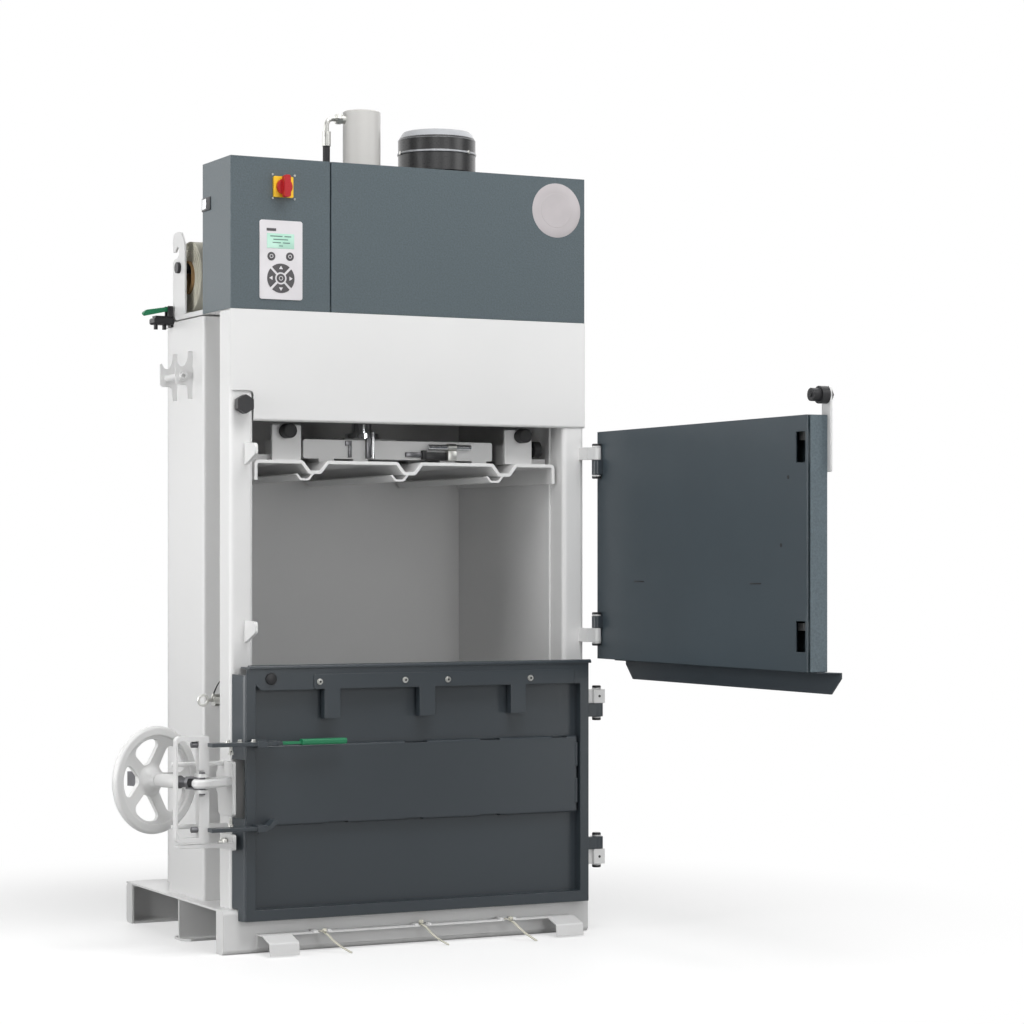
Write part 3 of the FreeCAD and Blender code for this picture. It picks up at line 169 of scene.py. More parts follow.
def woven_strap(name, colour):
    """Polyester strap: fine crossing threads on a cream ground."""
    material, tree, shader, place = finish_tree(name)
    weave = tree.nodes.new("ShaderNodeTexWave")
    weave.wave_type = "BANDS"
    weave.bands_direction = "DIAGONAL"
    weave.inputs["Scale"].default_value = 420.0
    weave.inputs["Distortion"].default_value = 1.5
    tree.links.new(place, weave.inputs["Vector"])
    tree.links.new(mixed(tree, weave.outputs["Fac"], shade(colour, 0.86), colour),
                   shader.inputs["Base Color"])
    shader.inputs["Roughness"].default_value = 0.75
    tree.links.new(relief(tree, weave.outputs["Fac"], 0.00015), shader.inputs["Normal"])
    return material


def pressed_paper(name, colour):
    """Wound cardboard core with its fibres."""
    material, tree, shader, place = finish_tree(name)
    fibres = noise(tree, place, 160.0, 6.0, (1.0, 0.4, 0.4))
    tree.links.new(mixed(tree, spread(tree, fibres, 0.0, 1.0), shade(colour, 0.75), shade(colour, 1.15)),
                   shader.inputs["Base Color"])
    shader.inputs["Roughness"].default_value = 0.85
    tree.links.new(relief(tree, fibres, 0.0002, 0.0006), shader.inputs["Normal"])
    return material


def lit_glass(name, colour):
    """The keypad's display: a pale backlit film."""
    material, tree, shader, place = finish_tree(name)
    film = spread(tree, noise(tree, place, 40.0, 1.0), 0.0, 1.0)
    tree.links.new(mixed(tree, film, shade(colour, 0.94), colour), shader.inputs["Base Color"])
    shader.inputs["Roughness"].default_value = 0.22
    shader.inputs["Emission Color"].default_value = (*colour, 1.0)
    shader.inputs["Emission Strength"].default_value = 0.12
    return material


WHITE = powder_coat("white paint", (0.745, 0.745, 0.742), grain=620.0, depth=0.00007, roughness=0.36,
                    edge=0.002, drift=0.012)
ANTHRACITE = structure_paint("anthracite structure paint", (0.060, 0.085, 0.098))
# The cabinet's structure paint made about half again as light: a painted highlight for the light on the upper
# door pan's edge.
LIGHTENED_PAN_PAINT = structure_paint("upper door pan paint lightened for painted highlight", (0.092, 0.127, 0.147))
DOOR_PAINT = powder_coat("anthracite door paint", (0.032, 0.042, 0.051), grain=900.0, depth=0.00006,
                         roughness=0.34, edge=0.0025, gloss=0.75)
SKIN_PAINT = powder_coat("upper door skin paint", (0.053, 0.071, 0.084), grain=900.0, depth=0.00006,
                         roughness=0.34, drift=0.06)
WHEEL_PAINT = powder_coat("wheel paint", (0.71, 0.71, 0.705), grain=500.0, depth=0.00006,
                          roughness=0.34, drift=0.02)
CREAM = powder_coat("cylinder paint", (0.55, 0.54, 0.522), grain=600.0, depth=0.00004,
                    roughness=0.34, drift=0.02)
COWL = powder_coat("motor paint", (0.036, 0.036, 0.037), grain=500.0, depth=0.00004, roughness=0.30)
YELLOW = moulded("switch yellow", (0.85, 0.52, 0.02), 0.34)
RED = moulded("switch red", (0.42, 0.010, 0.016), 0.32)
GREEN = moulded("grip green", (0.012, 0.20, 0.085), 0.42)
KEYPAD = moulded("keypad film", (0.70, 0.68, 0.70), 0.38, grain=1200.0, depth=0.00001)
KEY_DARK = moulded("key print", (0.075, 0.070, 0.075), 0.42, grain=1200.0, depth=0.00001)
BLACK = moulded("black plastic", (0.016, 0.016, 0.018), 0.42)
RUBBER = moulded("black rubber", (0.014, 0.014, 0.015), 0.62, grain=400.0, depth=0.00005)
ZINC = bare_metal("zinc plate", (0.66, 0.66, 0.63), 0.34)
CHROME = bare_metal("ground chrome", (0.80, 0.81, 0.83), 0.14, streak=(1.0, 1.0, 0.05), scale=200.0,
                    depth=0.00001)
BRIGHT = bare_metal("bright ring", (0.78, 0.79, 0.80), 0.22)
CARD = pressed_paper("card core", (0.36, 0.22, 0.10))
STRAP = woven_strap("cream strap", (0.72, 0.70, 0.60))
LCD = lit_glass("display film", (0.42, 0.66, 0.55))
LCD_DARK = moulded("display bars", (0.10, 0.19, 0.16), 0.5)
FOIL = moulded("blank foil", (0.46, 0.43, 0.44), 0.36, grain=300.0)
# Pale grey: the cowl's band in its own colour, and a painted highlight on the cowl's shoulder.
COWL_TRIM_AND_HIGHLIGHT = powder_coat("cowl band and shoulder highlight", (0.42, 0.43, 0.45), grain=500.0, depth=0.00004, roughness=0.30)
DARK_STEEL = bare_metal("dark steel", (0.20, 0.20, 0.21), 0.38)

# What each material slot of the record looks like, before the doors and the spindle get their own.
SLOT_FINISH = {
    "frame_white": WHITE,
    "panel_anthracite": ANTHRACITE,
    "wheel_grey": WHEEL_PAINT,
    "switch_yellow": YELLOW,
    "switch_red": RED,
    "grip_green": GREEN,
    "keypad_grey": KEYPAD,
    "black_plastic": BLACK,
    "rubber_black": RUBBER,
    "zinc": ZINC,
    "chrome": CHROME,
    "cylinder_cream": CREAM,
    "cowl_grey": COWL,
    "cardboard": CARD,
    "strap_white": STRAP,
}
DOOR_NODES = ("deflector_lip", "lower_door_frame", "lower_door_skin", "raised_panel", "strap_hangers",
              "lower_door_hinges", "upper_door_hinges", "lock_bars")


def paint(name, material):
    """Gives a CAD node one finish."""
    mesh = nodes[name].data
    mesh.materials.clear()
    mesh.materials.append(material)


for part in frame["record"]["subparts"]:
    paint(part["node"], SLOT_FINISH[part["material_slot"]])
for door_node in DOOR_NODES:
    paint(door_node, DOOR_PAINT)
paint("upper_door_skin", SKIN_PAINT)
paint("upper_door_pan", LIGHTENED_PAN_PAINT)
paint("lock_spindle", DARK_STEEL)


# ---------------------------------------------------------------- making pieces, drawn in millimetres
def settled(name, mesh, body):
    """A finished mesh as an object at the origin, riding on its body."""
    thing = bpy.data.objects.new(name, mesh)
    bpy.context.scene.collection.objects.link(thing)
    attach(thing, body)
    return thing


def piece(name, build, material, body, angle=32.0):
    """A mesh piece written by build(bm) in millimetres, with its finish and the body that it rides on."""
    bm = bmesh.new()
    build(bm)
    bmesh.ops.scale(bm, vec=(MM, MM, MM), verts=bm.verts)
    bmesh.ops.remove_doubles(bm, verts=bm.verts, dist=1e-6)
    bmesh.ops.recalc_face_normals(bm, faces=bm.faces)
    mesh = bpy.data.meshes.new(name)
    bm.to_mesh(mesh)
    bm.free()
    mesh.materials.append(material)
    mesh.shade_smooth()
    mesh.set_sharp_from_angle(angle=math.radians(angle))
    return settled(name, mesh, body)


def circle(bm, centre, aside, across, radius, steps):
    """A ring of vertices round a point, in the plane of two unit directions."""
    made = []
    for step in range(steps):
        angle = 2 * math.pi * step / steps
        made.append(bm.verts.new(centre + (aside * math.cos(angle) + across * math.sin(angle)) * radius))
    return made


def sheathe(bm, rings):
    """Faces from each ring of vertices to the next, and one over each end."""
    for low, high in zip(rings, rings[1:]):
        for side in range(len(low)):
            after = (side + 1) % len(low)
            bm.faces.new((low[side], low[after], high[after], high[side]))
    bm.faces.new(rings[0])
    bm.faces.new(rings[-1])


def turned(bm, profile, centre, axis, steps=40, ring=False):
    """A solid turned from (radius, distance along axis) pairs; a ring's profile closes on itself."""
    axis = Vector(axis).normalized()
    aside = axis.orthogonal().normalized()
    across = axis.cross(aside)
    rings = []
    for radius, along in profile:
        level = Vector(centre) + axis * along
        if radius < 1e-7:
            rings.append([bm.verts.new(level)])
        else:
            rings.append(circle(bm, level, aside, across, radius, steps))
    pairs = list(zip(rings, rings[1:]))
    if ring:
        pairs.append((rings[-1], rings[0]))
    for low, high in pairs:
        for step in range(steps):
            after = (step + 1) % steps
            corners = [low[step % len(low)], low[after % len(low)],
                       high[after % len(high)], high[step % len(high)]]
            unique = list(dict.fromkeys(corners))
            if len(unique) > 2:
                bm.faces.new(unique)
    if not ring:
        for end in (rings[0], rings[-1]):
            if len(end) > 1:
                bm.faces.new(end)


def slab(bm, low, high, bevel=0.0, segments=2):
    """A block between two corners with softened edges."""
    centre = (Vector(low) + Vector(high)) / 2
    size = Vector(high) - Vector(low)
    placed = Matrix.Translation(centre) @ Matrix.Diagonal((*size, 1.0))
    made = bmesh.ops.create_cube(bm, size=1.0, matrix=placed)
    if bevel > 0.0:
        edges = dict.fromkeys(edge for vert in made["verts"] for edge in vert.link_edges)
        bmesh.ops.bevel(bm, geom=list(edges), offset=bevel, segments=segments, affect="EDGES", profile=0.5)


def plate(bm, outline, near, far, bevel=0.0):
    """A plate of that outline in X and Z, from Y near to Y far, its front edge softened."""
    front = [bm.verts.new((x, near, z)) for x, z in outline]
    back = [bm.verts.new((x, far, z)) for x, z in outline]
    face = bm.faces.new(front)
    bm.faces.new(back[::-1])
    for index in range(len(outline)):
        after = (index + 1) % len(outline)
        bm.faces.new((front[index], back[index], back[after], front[after]))
    if bevel > 0.0:
        bmesh.ops.bevel(bm, geom=list(face.edges), offset=bevel, segments=2, affect="EDGES", profile=0.5)


def heading(line, index):
    """The unit direction of a line of points at one of them."""
    return (line[min(index + 1, len(line) - 1)] - line[max(index - 1, 0)]).normalized()


def pipe(bm, line, radius, steps=12):
    """A round wire or tube along points, closed at both ends."""
    line = [Vector(point) for point in line]
    aside = (line[1] - line[0]).orthogonal().normalized()
    rings = []
    for index, here in enumerate(line):
        ahead = heading(line, index)
        aside = (aside - ahead * aside.dot(ahead)).normalized()
        rings.append(circle(bm, here, aside, ahead.cross(aside), radius, steps))
    sheathe(bm, rings)


def ribbon(bm, line, width, thick):
    """A flat strap along points, its width held as level as the line allows."""
    run = line[-1] - line[0]
    level = Vector((run.y, -run.x, 0.0)).normalized()
    rings = []
    for index, here in enumerate(line):
        ahead = heading(line, index)
        aside = (level - ahead * level.dot(ahead)).normalized()
        up = ahead.cross(aside)
        ring = []
        for u, v in ((-1, -1), (1, -1), (1, 1), (-1, 1)):
            ring.append(bm.verts.new(here + aside * (u * width / 2) + up * (v * thick / 2)))
        rings.append(ring)
    sheathe(bm, rings)


def front_of(node):
    """The foremost Y of a CAD node, in millimetres."""
    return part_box(node)[0][1] / MM


# ---------------------------------------------------------------- hose, strap tails and eye cable
def route_curve(name, route):
    """A curve object on a route's control points, given in millimetres."""
    curve = bpy.data.curves.new(name, "CURVE")
    curve.dimensions = "3D"
    spline = curve.splines.new("NURBS")
    spline.points.add(len(route) - 1)
    for control, place in zip(spline.points, route):
        control.co = (*(Vector(place) * MM), 1.0)
    spline.order_u = 3
    spline.use_endpoint_u = True
    spline.resolution_u = 16
    thing = bpy.data.objects.new(name, curve)
    bpy.context.scene.collection.objects.link(thing)
    return thing


def spline_line(route):
    """Points in millimetres along a route's own NURBS spline."""
    thing = route_curve("route line", route)
    mesh = bpy.data.meshes.new_from_object(thing)
    line = [vert.co / MM for vert in mesh.vertices]
    curve = thing.data
    bpy.data.objects.remove(thing)
    bpy.data.curves.remove(curve)
    bpy.data.meshes.remove(mesh)
    return line


def rubber_cord(name, route, radius, rounding):
    """A round black cord on a route, on the frame."""
    cord = route_curve(name, route)
    cord.data.bevel_depth = radius * MM
    cord.data.bevel_resolution = rounding
    cord.data.use_fill_caps = True
    cord.data.materials.append(RUBBER)
    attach(cord, "frame")
    return cord


HOSE_RADIUS = 9.0
HOSE_ROUTE = ((-96.0, 304.0, 1952.0), (-96.0, 304.0, 1892.0), (-92.0, 320.0, 1834.0),
              (-76.0, 362.0, 1792.0), (-60.0, 420.0, 1760.0), (-60.0, 420.0, 1696.0))
hose = rubber_cord("hydraulic_hose_line", HOSE_ROUTE, HOSE_RADIUS, 6)
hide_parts("hydraulic_hose")

STRAP_WIDTH, STRAP_THICK = 9.0, 1.6
STRAP_ROUTES = (
    ((-262.0, -46.0, 47.2), (-262.0, -78.0, 50.0), (-240.0, -96.0, 18.0), (-212.0, -120.0, 1.2)),
    ((0.0, -38.0, 47.2), (0.0, -66.0, 49.0), (22.0, -82.0, 16.0), (49.0, -101.0, 1.2)),
    ((225.0, -46.0, 47.2), (225.0, -84.0, 50.0), (246.0, -108.0, 18.0), (268.0, -134.0, 1.2)),
)
STRAP_KNOTS = ((-262.0, -76.0, 52.0), (0.0, -49.0, 53.5), (225.0, -81.0, 52.0))
KNOT_SCALE, KNOT_FLATNESS, KNOT_CORD, KNOT_STEPS = 1.55, 1.4, 2.2, 72


def knot(bm, centre):
    """A pulled overhand knot: a small trefoil of bunched strap."""
    line = []
    for step in range(KNOT_STEPS + 1):
        turn = 2 * math.pi * step / KNOT_STEPS
        offset = Vector((math.sin(turn) + 2 * math.sin(2 * turn), math.cos(turn) - 2 * math.cos(2 * turn),
                         -KNOT_FLATNESS * math.sin(3 * turn)))
        line.append(Vector(centre) + offset * KNOT_SCALE)
    pipe(bm, line, KNOT_CORD, 10)


for index, (route, centre) in enumerate(zip(STRAP_ROUTES, STRAP_KNOTS)):
    line = spline_line(route)
    tied = piece(f"strap_knot_{index}", lambda bm: knot(bm, centre), STRAP, "frame")
    tail = piece(f"strap_tail_{index}", lambda bm: ribbon(bm, line, STRAP_WIDTH, STRAP_THICK), STRAP,
                 "frame")
    for part in (tied, tail):
        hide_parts("strap_tails")


CABLE_ROUTE = ((-462.0, 66.0, 640.0), (-464.0, 78.0, 636.0), (-468.5, 92.0, 620.0), (-472.0, 101.0, 604.0),
               (-475.0, 106.5, 593.0))
CABLE_RADIUS, FERRULE_RADIUS = 1.6, 2.8
cable_line = spline_line(CABLE_ROUTE)
piece("eye_cable_ferrule", lambda bm: pipe(bm, CABLE_ROUTE[-2:], FERRULE_RADIUS, 16), ZINC, "frame")
cable = rubber_cord("eye_cable", CABLE_ROUTE, CABLE_RADIUS, 4)


# ---------------------------------------------------------------- strap roll
ROLL_CENTRE = (350.0, 1612.05)         # Y and Z
ROLL_LEFT, ROLL_RIGHT = -445.0, -393.0
ROLL_INNER, ROLL_OUTER, ROLL_TURNS = 40.4, 88.6, 26
STEPS_A_TURN = 56
SIDE_GAP = 3.0                         # between the strap's edges and the roll's sides
STRAP_SHARE = 0.82                     # of a turn's pitch; the rest is the gap to the next turn


def wound_strap(bm):
    """The supply of strap: one long flat strip wound on the core, its turns a little uneven."""
    pitch = (ROLL_OUTER - ROLL_INNER) / ROLL_TURNS
    rings = []
    for step in range(ROLL_TURNS * STEPS_A_TURN + 1):
        turn = step / STEPS_A_TURN
        angle = 2 * math.pi * turn
        climbed = max(turn - 1, 0)
        inner = ROLL_INNER + pitch * climbed * (ROLL_TURNS / (ROLL_TURNS - 1)) * 0.985
        outer = inner + pitch * STRAP_SHARE
        shift = 1.3 * math.sin(turn * 2.1) + 0.7 * math.sin(turn * 5.3)
        left, right = ROLL_LEFT + SIDE_GAP + shift, ROLL_RIGHT - SIDE_GAP + shift
        ring = []
        for radius, x in ((inner, left), (inner, right), (outer, right), (outer, left)):
            ring.append(bm.verts.new((x, ROLL_CENTRE[0] + radius * math.cos(angle),
                                      ROLL_CENTRE[1] + radius * math.sin(angle))))
        rings.append(ring)
    sheathe(bm, rings)


winding = piece("strap_winding", wound_strap, STRAP, "strap_roll")
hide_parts("strap_roll")


# ---------------------------------------------------------------- screws by Geometry Nodes
HEAD_SIDES, SOCKET_SIDES = 28, 6
FLANGE_SHARE = 0.3          # of the head's height
CROWN_SHARE = 0.86          # of the head's radius
SOCKET_SHARE = 0.42         # of the head's radius


def screw_tree(head_finish, recess_finish):
    """Screw heads with a hexagon socket on every point, all facing one way."""
    tree = bpy.data.node_groups.new("screw heads", "GeometryNodeTree")
    tree.interface.new_socket("Seats", in_out="INPUT", socket_type="NodeSocketGeometry")
    for title in ("Head radius", "Head height", "Socket radius"):
        tree.interface.new_socket(title, in_out="INPUT", socket_type="NodeSocketFloat")
    tree.interface.new_socket("Facing", in_out="INPUT", socket_type="NodeSocketVector")
    tree.interface.new_socket("Screws", in_out="OUTPUT", socket_type="NodeSocketGeometry")
    new, link = tree.nodes.new, tree.links.new
    source = new("NodeGroupInput")
    result = new("NodeGroupOutput")

    def cylinder(sides, radius, depth):
        node = new("GeometryNodeMeshCylinder")
        node.inputs["Vertices"].default_value = sides
        link(radius, node.inputs["Radius"])
        link(depth, node.inputs["Depth"])
        return node.outputs["Mesh"]

    def scaled(value, factor):
        node = new("ShaderNodeMath")
        node.operation = "MULTIPLY"
        node.inputs[1].default_value = factor
        link(value, node.inputs[0])
        return node.outputs["Value"]

    def raised(geometry, height):
        combine = new("ShaderNodeCombineXYZ")
        link(height, combine.inputs["Z"])
        node = new("GeometryNodeTransform")
        link(geometry, node.inputs["Geometry"])
        link(combine.outputs["Vector"], node.inputs["Translation"])
        return node.outputs["Geometry"]

    radius, height = source.outputs["Head radius"], source.outputs["Head height"]
    flange = raised(cylinder(HEAD_SIDES, radius, scaled(height, FLANGE_SHARE)),
                    scaled(height, FLANGE_SHARE / 2))
    crown = raised(cylinder(HEAD_SIDES, scaled(radius, CROWN_SHARE), height), scaled(height, 0.5))
    recess = raised(cylinder(SOCKET_SIDES, source.outputs["Socket radius"], scaled(height, 0.1)),
                    scaled(height, 1.0))
    marked = new("GeometryNodeStoreNamedAttribute")
    marked.data_type = "BOOLEAN"
    marked.domain = "FACE"
    marked.inputs["Name"].default_value = "recess"
    marked.inputs["Value"].default_value = True
    link(recess, marked.inputs["Geometry"])
    join = new("GeometryNodeJoinGeometry")
    for part in (flange, crown, marked.outputs["Geometry"]):
        link(part, join.inputs["Geometry"])
    facing = new("FunctionNodeAlignRotationToVector")
    facing.axis = "Z"
    link(source.outputs["Facing"], facing.inputs["Vector"])
    spots = new("GeometryNodeInstanceOnPoints")
    link(source.outputs["Seats"], spots.inputs["Points"])
    link(join.outputs["Geometry"], spots.inputs["Instance"])
    link(facing.outputs["Rotation"], spots.inputs["Rotation"])
    real = new("GeometryNodeRealizeInstances")
    link(spots.outputs["Instances"], real.inputs["Geometry"])
    heads = new("GeometryNodeSetMaterial")
    heads.inputs["Material"].default_value = head_finish
    link(real.outputs["Geometry"], heads.inputs["Geometry"])
    chosen = new("GeometryNodeInputNamedAttribute")
    chosen.data_type = "BOOLEAN"
    chosen.inputs["Name"].default_value = "recess"
    recesses = new("GeometryNodeSetMaterial")
    recesses.inputs["Material"].default_value = recess_finish
    link(chosen.outputs["Attribute"], recesses.inputs["Selection"])
    link(heads.outputs["Geometry"], recesses.inputs["Geometry"])
    link(recesses.outputs["Geometry"], result.inputs["Screws"])
    return tree


ZINC_SCREWS = screw_tree(ZINC, BLACK)
WHITE_SCREWS = screw_tree(WHITE, BLACK)


def screws(name, spots, facing, body, radius=6.5, height=4.0, tree=ZINC_SCREWS):
    """Screw heads at the given places, all facing one way, as one plain mesh."""
    seats = bpy.data.meshes.new(name + " seats")
    seats.from_pydata([Vector(spot) * MM for spot in spots], [], [])
    carrier = bpy.data.objects.new(name + " seats", seats)
    bpy.context.scene.collection.objects.link(carrier)
    modifier = carrier.modifiers.new("screws", "NODES")
    modifier.node_group = tree
    values = {"Head radius": radius * MM, "Head height": height * MM,
              "Socket radius": radius * SOCKET_SHARE * MM, "Facing": facing}
    for socket in tree.interface.items_tree:
        if socket.item_type == "SOCKET" and socket.name in values:
            modifier[socket.identifier] = values[socket.name]
    graph = bpy.context.evaluated_depsgraph_get()
    made = bpy.data.meshes.new_from_object(carrier.evaluated_get(graph), depsgraph=graph)
    bpy.data.objects.remove(carrier)
    bpy.data.meshes.remove(seats)
    made.name = name
    return settled(name, made, body)


OUT = (0.0, -1.0, 0.0)
LEFT = (-1.0, 0.0, 0.0)
RIGHT = (1.0, 0.0, 0.0)
BACK = (0.0, 1.0, 0.0)
UP = (0.0, 0.0, 1.0)


# ---------------------------------------------------------------- control panel
PAD = (-345.0, 1583.0)                  # X and Z of the middle key, with the arrow keys round it
KEY_SPOTS = ((-369, 1634), (-322, 1635), PAD)
KEY_RADII, MARK_RADII = (9.9, 9.9, 10.6), (4.6, 4.6, 5.2)
ARROW_OUTER, ARROW_OUTER_SPAN = 34.5, 0.70      # radius, and half the angle it spans in radians
ARROW_INNER, ARROW_INNER_SPAN = 14.5, 0.60
DISPLAY_ROWS = ((-372, -341, 1681.5), (-336, -319, 1681.5), (-364, -327, 1674.0),
                (-366, -345, 1666.5), (-340, -322, 1666.5), (-350, -340, 1659.0))


def keypad():
    """Display with plain bars, two round keys and a ring of four arrow keys round a middle one."""
    front = front_of("keypad_panel")
    flush = front + 0.2
    piece("keypad_display", lambda bm: slab(bm, (-380, front - 0.6, 1653), (-311, flush, 1688), 0.25),
          LCD, "frame")

    def rows(bm):
        for left, right, z in DISPLAY_ROWS:
            slab(bm, (left, front - 0.8, z - 1.1), (right, front - 0.5, z + 1.1))

    piece("keypad_display_rows", rows, LCD_DARK, "frame")
    piece("keypad_title_bar", lambda bm: slab(bm, (-381, front - 0.4, 1693.5), (-357, flush, 1700), 0.1),
          KEY_DARK, "frame")

    def keys(bm):
        for (x, z), radius in zip(KEY_SPOTS, KEY_RADII):
            turned(bm, [(0, 0.2), (radius, 0.2), (radius, -0.7), (radius - 0.5, -1.1), (0, -1.1)],
                   (x, front, z), BACK, 36)
        for quarter in range(4):
            middle = quarter * math.pi / 2
            outer = [(ARROW_OUTER, middle + ARROW_OUTER_SPAN * (step / 6 - 1)) for step in range(13)]
            inner = [(ARROW_INNER, middle + ARROW_INNER_SPAN * (step / 6 - 1)) for step in range(12, -1, -1)]
            outline = [(PAD[0] + radius * math.cos(turn), PAD[1] + radius * math.sin(turn))
                       for radius, turn in outer + inner]
            plate(bm, outline, front - 1.0, flush, 0.35)

    piece("keypad_keys", keys, KEY_DARK, "frame")

    def marks(bm):
        for quarter in range(4):
            angle = quarter * math.pi / 2
            ahead = Vector((math.cos(angle), math.sin(angle)))
            aside = Vector((-ahead.y, ahead.x))
            tip, root = ahead * 29.5, ahead * 21.5
            arrow = [tip, root + aside * 5.0, root - aside * 5.0]
            plate(bm, [(PAD[0] + point.x, PAD[1] + point.y) for point in arrow], front - 1.25, front - 0.9)
        for (x, z), radius in zip(KEY_SPOTS, MARK_RADII):
            turned(bm, [(radius, -1.3), (radius, -1.0), (radius - 1.4, -1.0), (radius - 1.4, -1.3)],
                   (x, front, z), BACK, 24, True)

    piece("keypad_marks", marks, KEYPAD, "frame")


keypad()

SWITCH, SWITCH_SCREWS = (-339.5, 1798), 28      # X and Z of the middle, and half the screws' spacing
plate_front = front_of("main_switch_plate")
switch_corners = [(SWITCH[0] + u * SWITCH_SCREWS, plate_front, SWITCH[1] + v * SWITCH_SCREWS)
                  for u in (-1, 1) for v in (-1, 1)]
screws("switch_plate_screws", switch_corners, OUT, "frame", radius=2.4, height=1.0)


def blank_badge(bm):
    """The round foil on the cover, left plain."""
    front = front_of("power_pack_cover")
    turned(bm, [(0, 0.5), (67, 0.5), (67, -0.2), (66.4, -0.5), (42.5, -0.5), (42.0, -0.9), (0, -0.9)],
           (390, front, 1784.5), BACK, 72)


piece("blank_round_foil", blank_badge, FOIL, "frame")

SIDE = -469.5               # X of the machine's left side
piece("cabinet_latch_face", lambda bm: slab(bm, (SIDE - 4.0, 150, 1756), (SIDE, 176, 1781), 1.0),
      BRIGHT, "frame")
piece("cabinet_latch_shell", lambda bm: slab(bm, (SIDE - 2.5, 126, 1752), (SIDE, 182, 1784), 1.0),
      BLACK, "frame")


# ---------------------------------------------------------------- motor cowl
MOTOR = (221.0, 330.0)      # X and Y of its axis
BAND_RADIUS, BAND_HEIGHT = 100.5, 1953.0
COWL_STEPS = 96


def painted_cowl_highlight(bm):
    """A pale ring laid on the cowl's shoulder: a painted highlight along the bevel."""
    turned(bm, [(99.4, 1987), (88.3, 2006.4), (85.2, 2008.8), (84.8, 2008.0), (88.0, 2005.4), (98.8, 1986.6)],
           (*MOTOR, 0), UP, COWL_STEPS, True)


def cowl_band(bm):
    """The thin bright band round the cowl."""
    turned(bm, [(100.4, 1950.6), (101.0, 1951.6), (101.0, 1954.4), (100.4, 1955.4),
                (99.6, 1955), (99.6, 1951)], (*MOTOR, 0), UP, COWL_STEPS, True)


# The shoulder ring is a painted highlight on the bevel; the band keeps its own pale grey.
piece("cowl_shoulder_painted_highlight", painted_cowl_highlight, COWL_TRIM_AND_HIGHLIGHT, "frame")
piece("cowl_band", cowl_band, COWL_TRIM_AND_HIGHLIGHT, "frame")


def cowl_screws(bm):
    """Three low screw heads on the band."""
    for degrees in (-62, 58, 178):
        angle = math.radians(degrees)
        away = (math.cos(angle), math.sin(angle), 0)
        centre = (MOTOR[0] + BAND_RADIUS * away[0], MOTOR[1] + BAND_RADIUS * away[1], BAND_HEIGHT)
        turned(bm, [(0, -1), (5, -1), (5, 1.2), (4.2, 2.0), (0, 2.0)], centre, away, 16)


piece("cowl_screws", cowl_screws, ZINC, "frame")


# ---------------------------------------------------------------- lower door details
BAND_FACE = -58.0           # Y of the front of the strip with the three tabs
band_spots = [(x, BAND_FACE, z) for x, z in ((-267, 634), (-46, 634), (67, 633), (290, 632))]
screws("band_screws", band_spots, OUT, "lower_door", radius=7.3)


def band_plug(bm):
    """The round black plug near the door's upper left corner."""
    turned(bm, [(0, -1), (14, -1), (14, 3), (12.6, 6.0), (9, 7.6), (0, 8.0)], (-389, -55, 643), OUT, 40)


piece("band_plug", band_plug, BLACK, "lower_door")


# ---------------------------------------------------------------- door lock
PIN = Vector((-560.0, -56.0, 405.0))                # the lock's pivot
ALONG = Vector((-0.365088, 0.930973, 0.0))          # from the pivot towards the handwheel
THREAD_TURNS, THREAD_START, THREAD_PITCH = 12, 47.0, 2.4
STUD, STUD_HEIGHTS = (-582, -42), (494.0, 298.0)    # X and Y of the studs, and their Z
BAR_LUG = (-497, -75)                               # X and Y of the door's lug for the closing bars


def spindle_thread(bm):
    """The ridges of the spindle's screw thread between its eye and its sleeve, as rings."""
    profile = []
    for turn in range(THREAD_TURNS):
        start = THREAD_START + turn * THREAD_PITCH
        profile += [(9.7, start), (11.2, start + 0.9), (11.2, start + 1.3), (9.7, start + 2.2)]
    profile += [(9.0, 76.0), (9.0, 46.5)]
    turned(bm, profile, PIN, ALONG, 36, True)


def spindle_sleeve(bm):
    """The painted tube round the spindle, up to the handwheel."""
    turned(bm, [(15.2, 76.5), (15.9, 77.2), (15.9, 150.0), (15.2, 150.6), (14.4, 150.6), (14.4, 76.5)],
           PIN, ALONG, 40, True)


piece("spindle_thread", spindle_thread, DARK_STEEL, "lock")
piece("spindle_sleeve", spindle_sleeve, WHEEL_PAINT, "lock")


def yoke_studs(bm):
    """Studs on the yoke that the closing bars reach for."""
    for z in STUD_HEIGHTS:
        turned(bm, [(0, 0), (6.0, 0), (7.0, 1.0), (7.0, 15.0), (6.0, 16.0), (0, 16.0)],
               (*STUD, z), RIGHT, 28)


piece("yoke_studs", yoke_studs, DARK_STEEL, "lock")
screws("left_post_bolts", [(*BAR_LUG, 478)], OUT, "lower_door", radius=5.0)


# ---------------------------------------------------------------- press carriage
TUBE_LINE = (74, 1196)      # Y and Z of the tube's axis


def guide_tube(bm):
    """A short ground tube across the beam, its ends rounded off."""
    turned(bm, [(0, 0), (6.2, 0), (7.0, 0.8), (7.0, 115.2), (6.2, 116), (0, 116)],
           (76, *TUBE_LINE), RIGHT, 28)


piece("press_guide_tube", guide_tube, CHROME, "press")


def tube_clamp(bm):
    """A foot on the beam with a ring round the tube."""
    slab(bm, (127, 66, 1163), (151, 86, 1188), 2.0)
    turned(bm, [(9.2, 0), (9.2, 22), (7.1, 22), (7.1, 0)], (128, *TUBE_LINE), RIGHT, 28, True)


piece("press_tube_clamp", tube_clamp, ZINC, "press")


def valve_blocks(bm):
    """A black valve with its narrower cap."""
    slab(bm, (72, 74, 1164), (128, 86, 1184), 1.5)
    slab(bm, (61, 72, 1165), (72, 86, 1188), 1.0)


piece("press_valve", valve_blocks, BLACK, "press")
piece("press_link", lambda bm: slab(bm, (18, 76, 1171), (62, 86, 1183), 1.2), DARK_STEEL, "press")


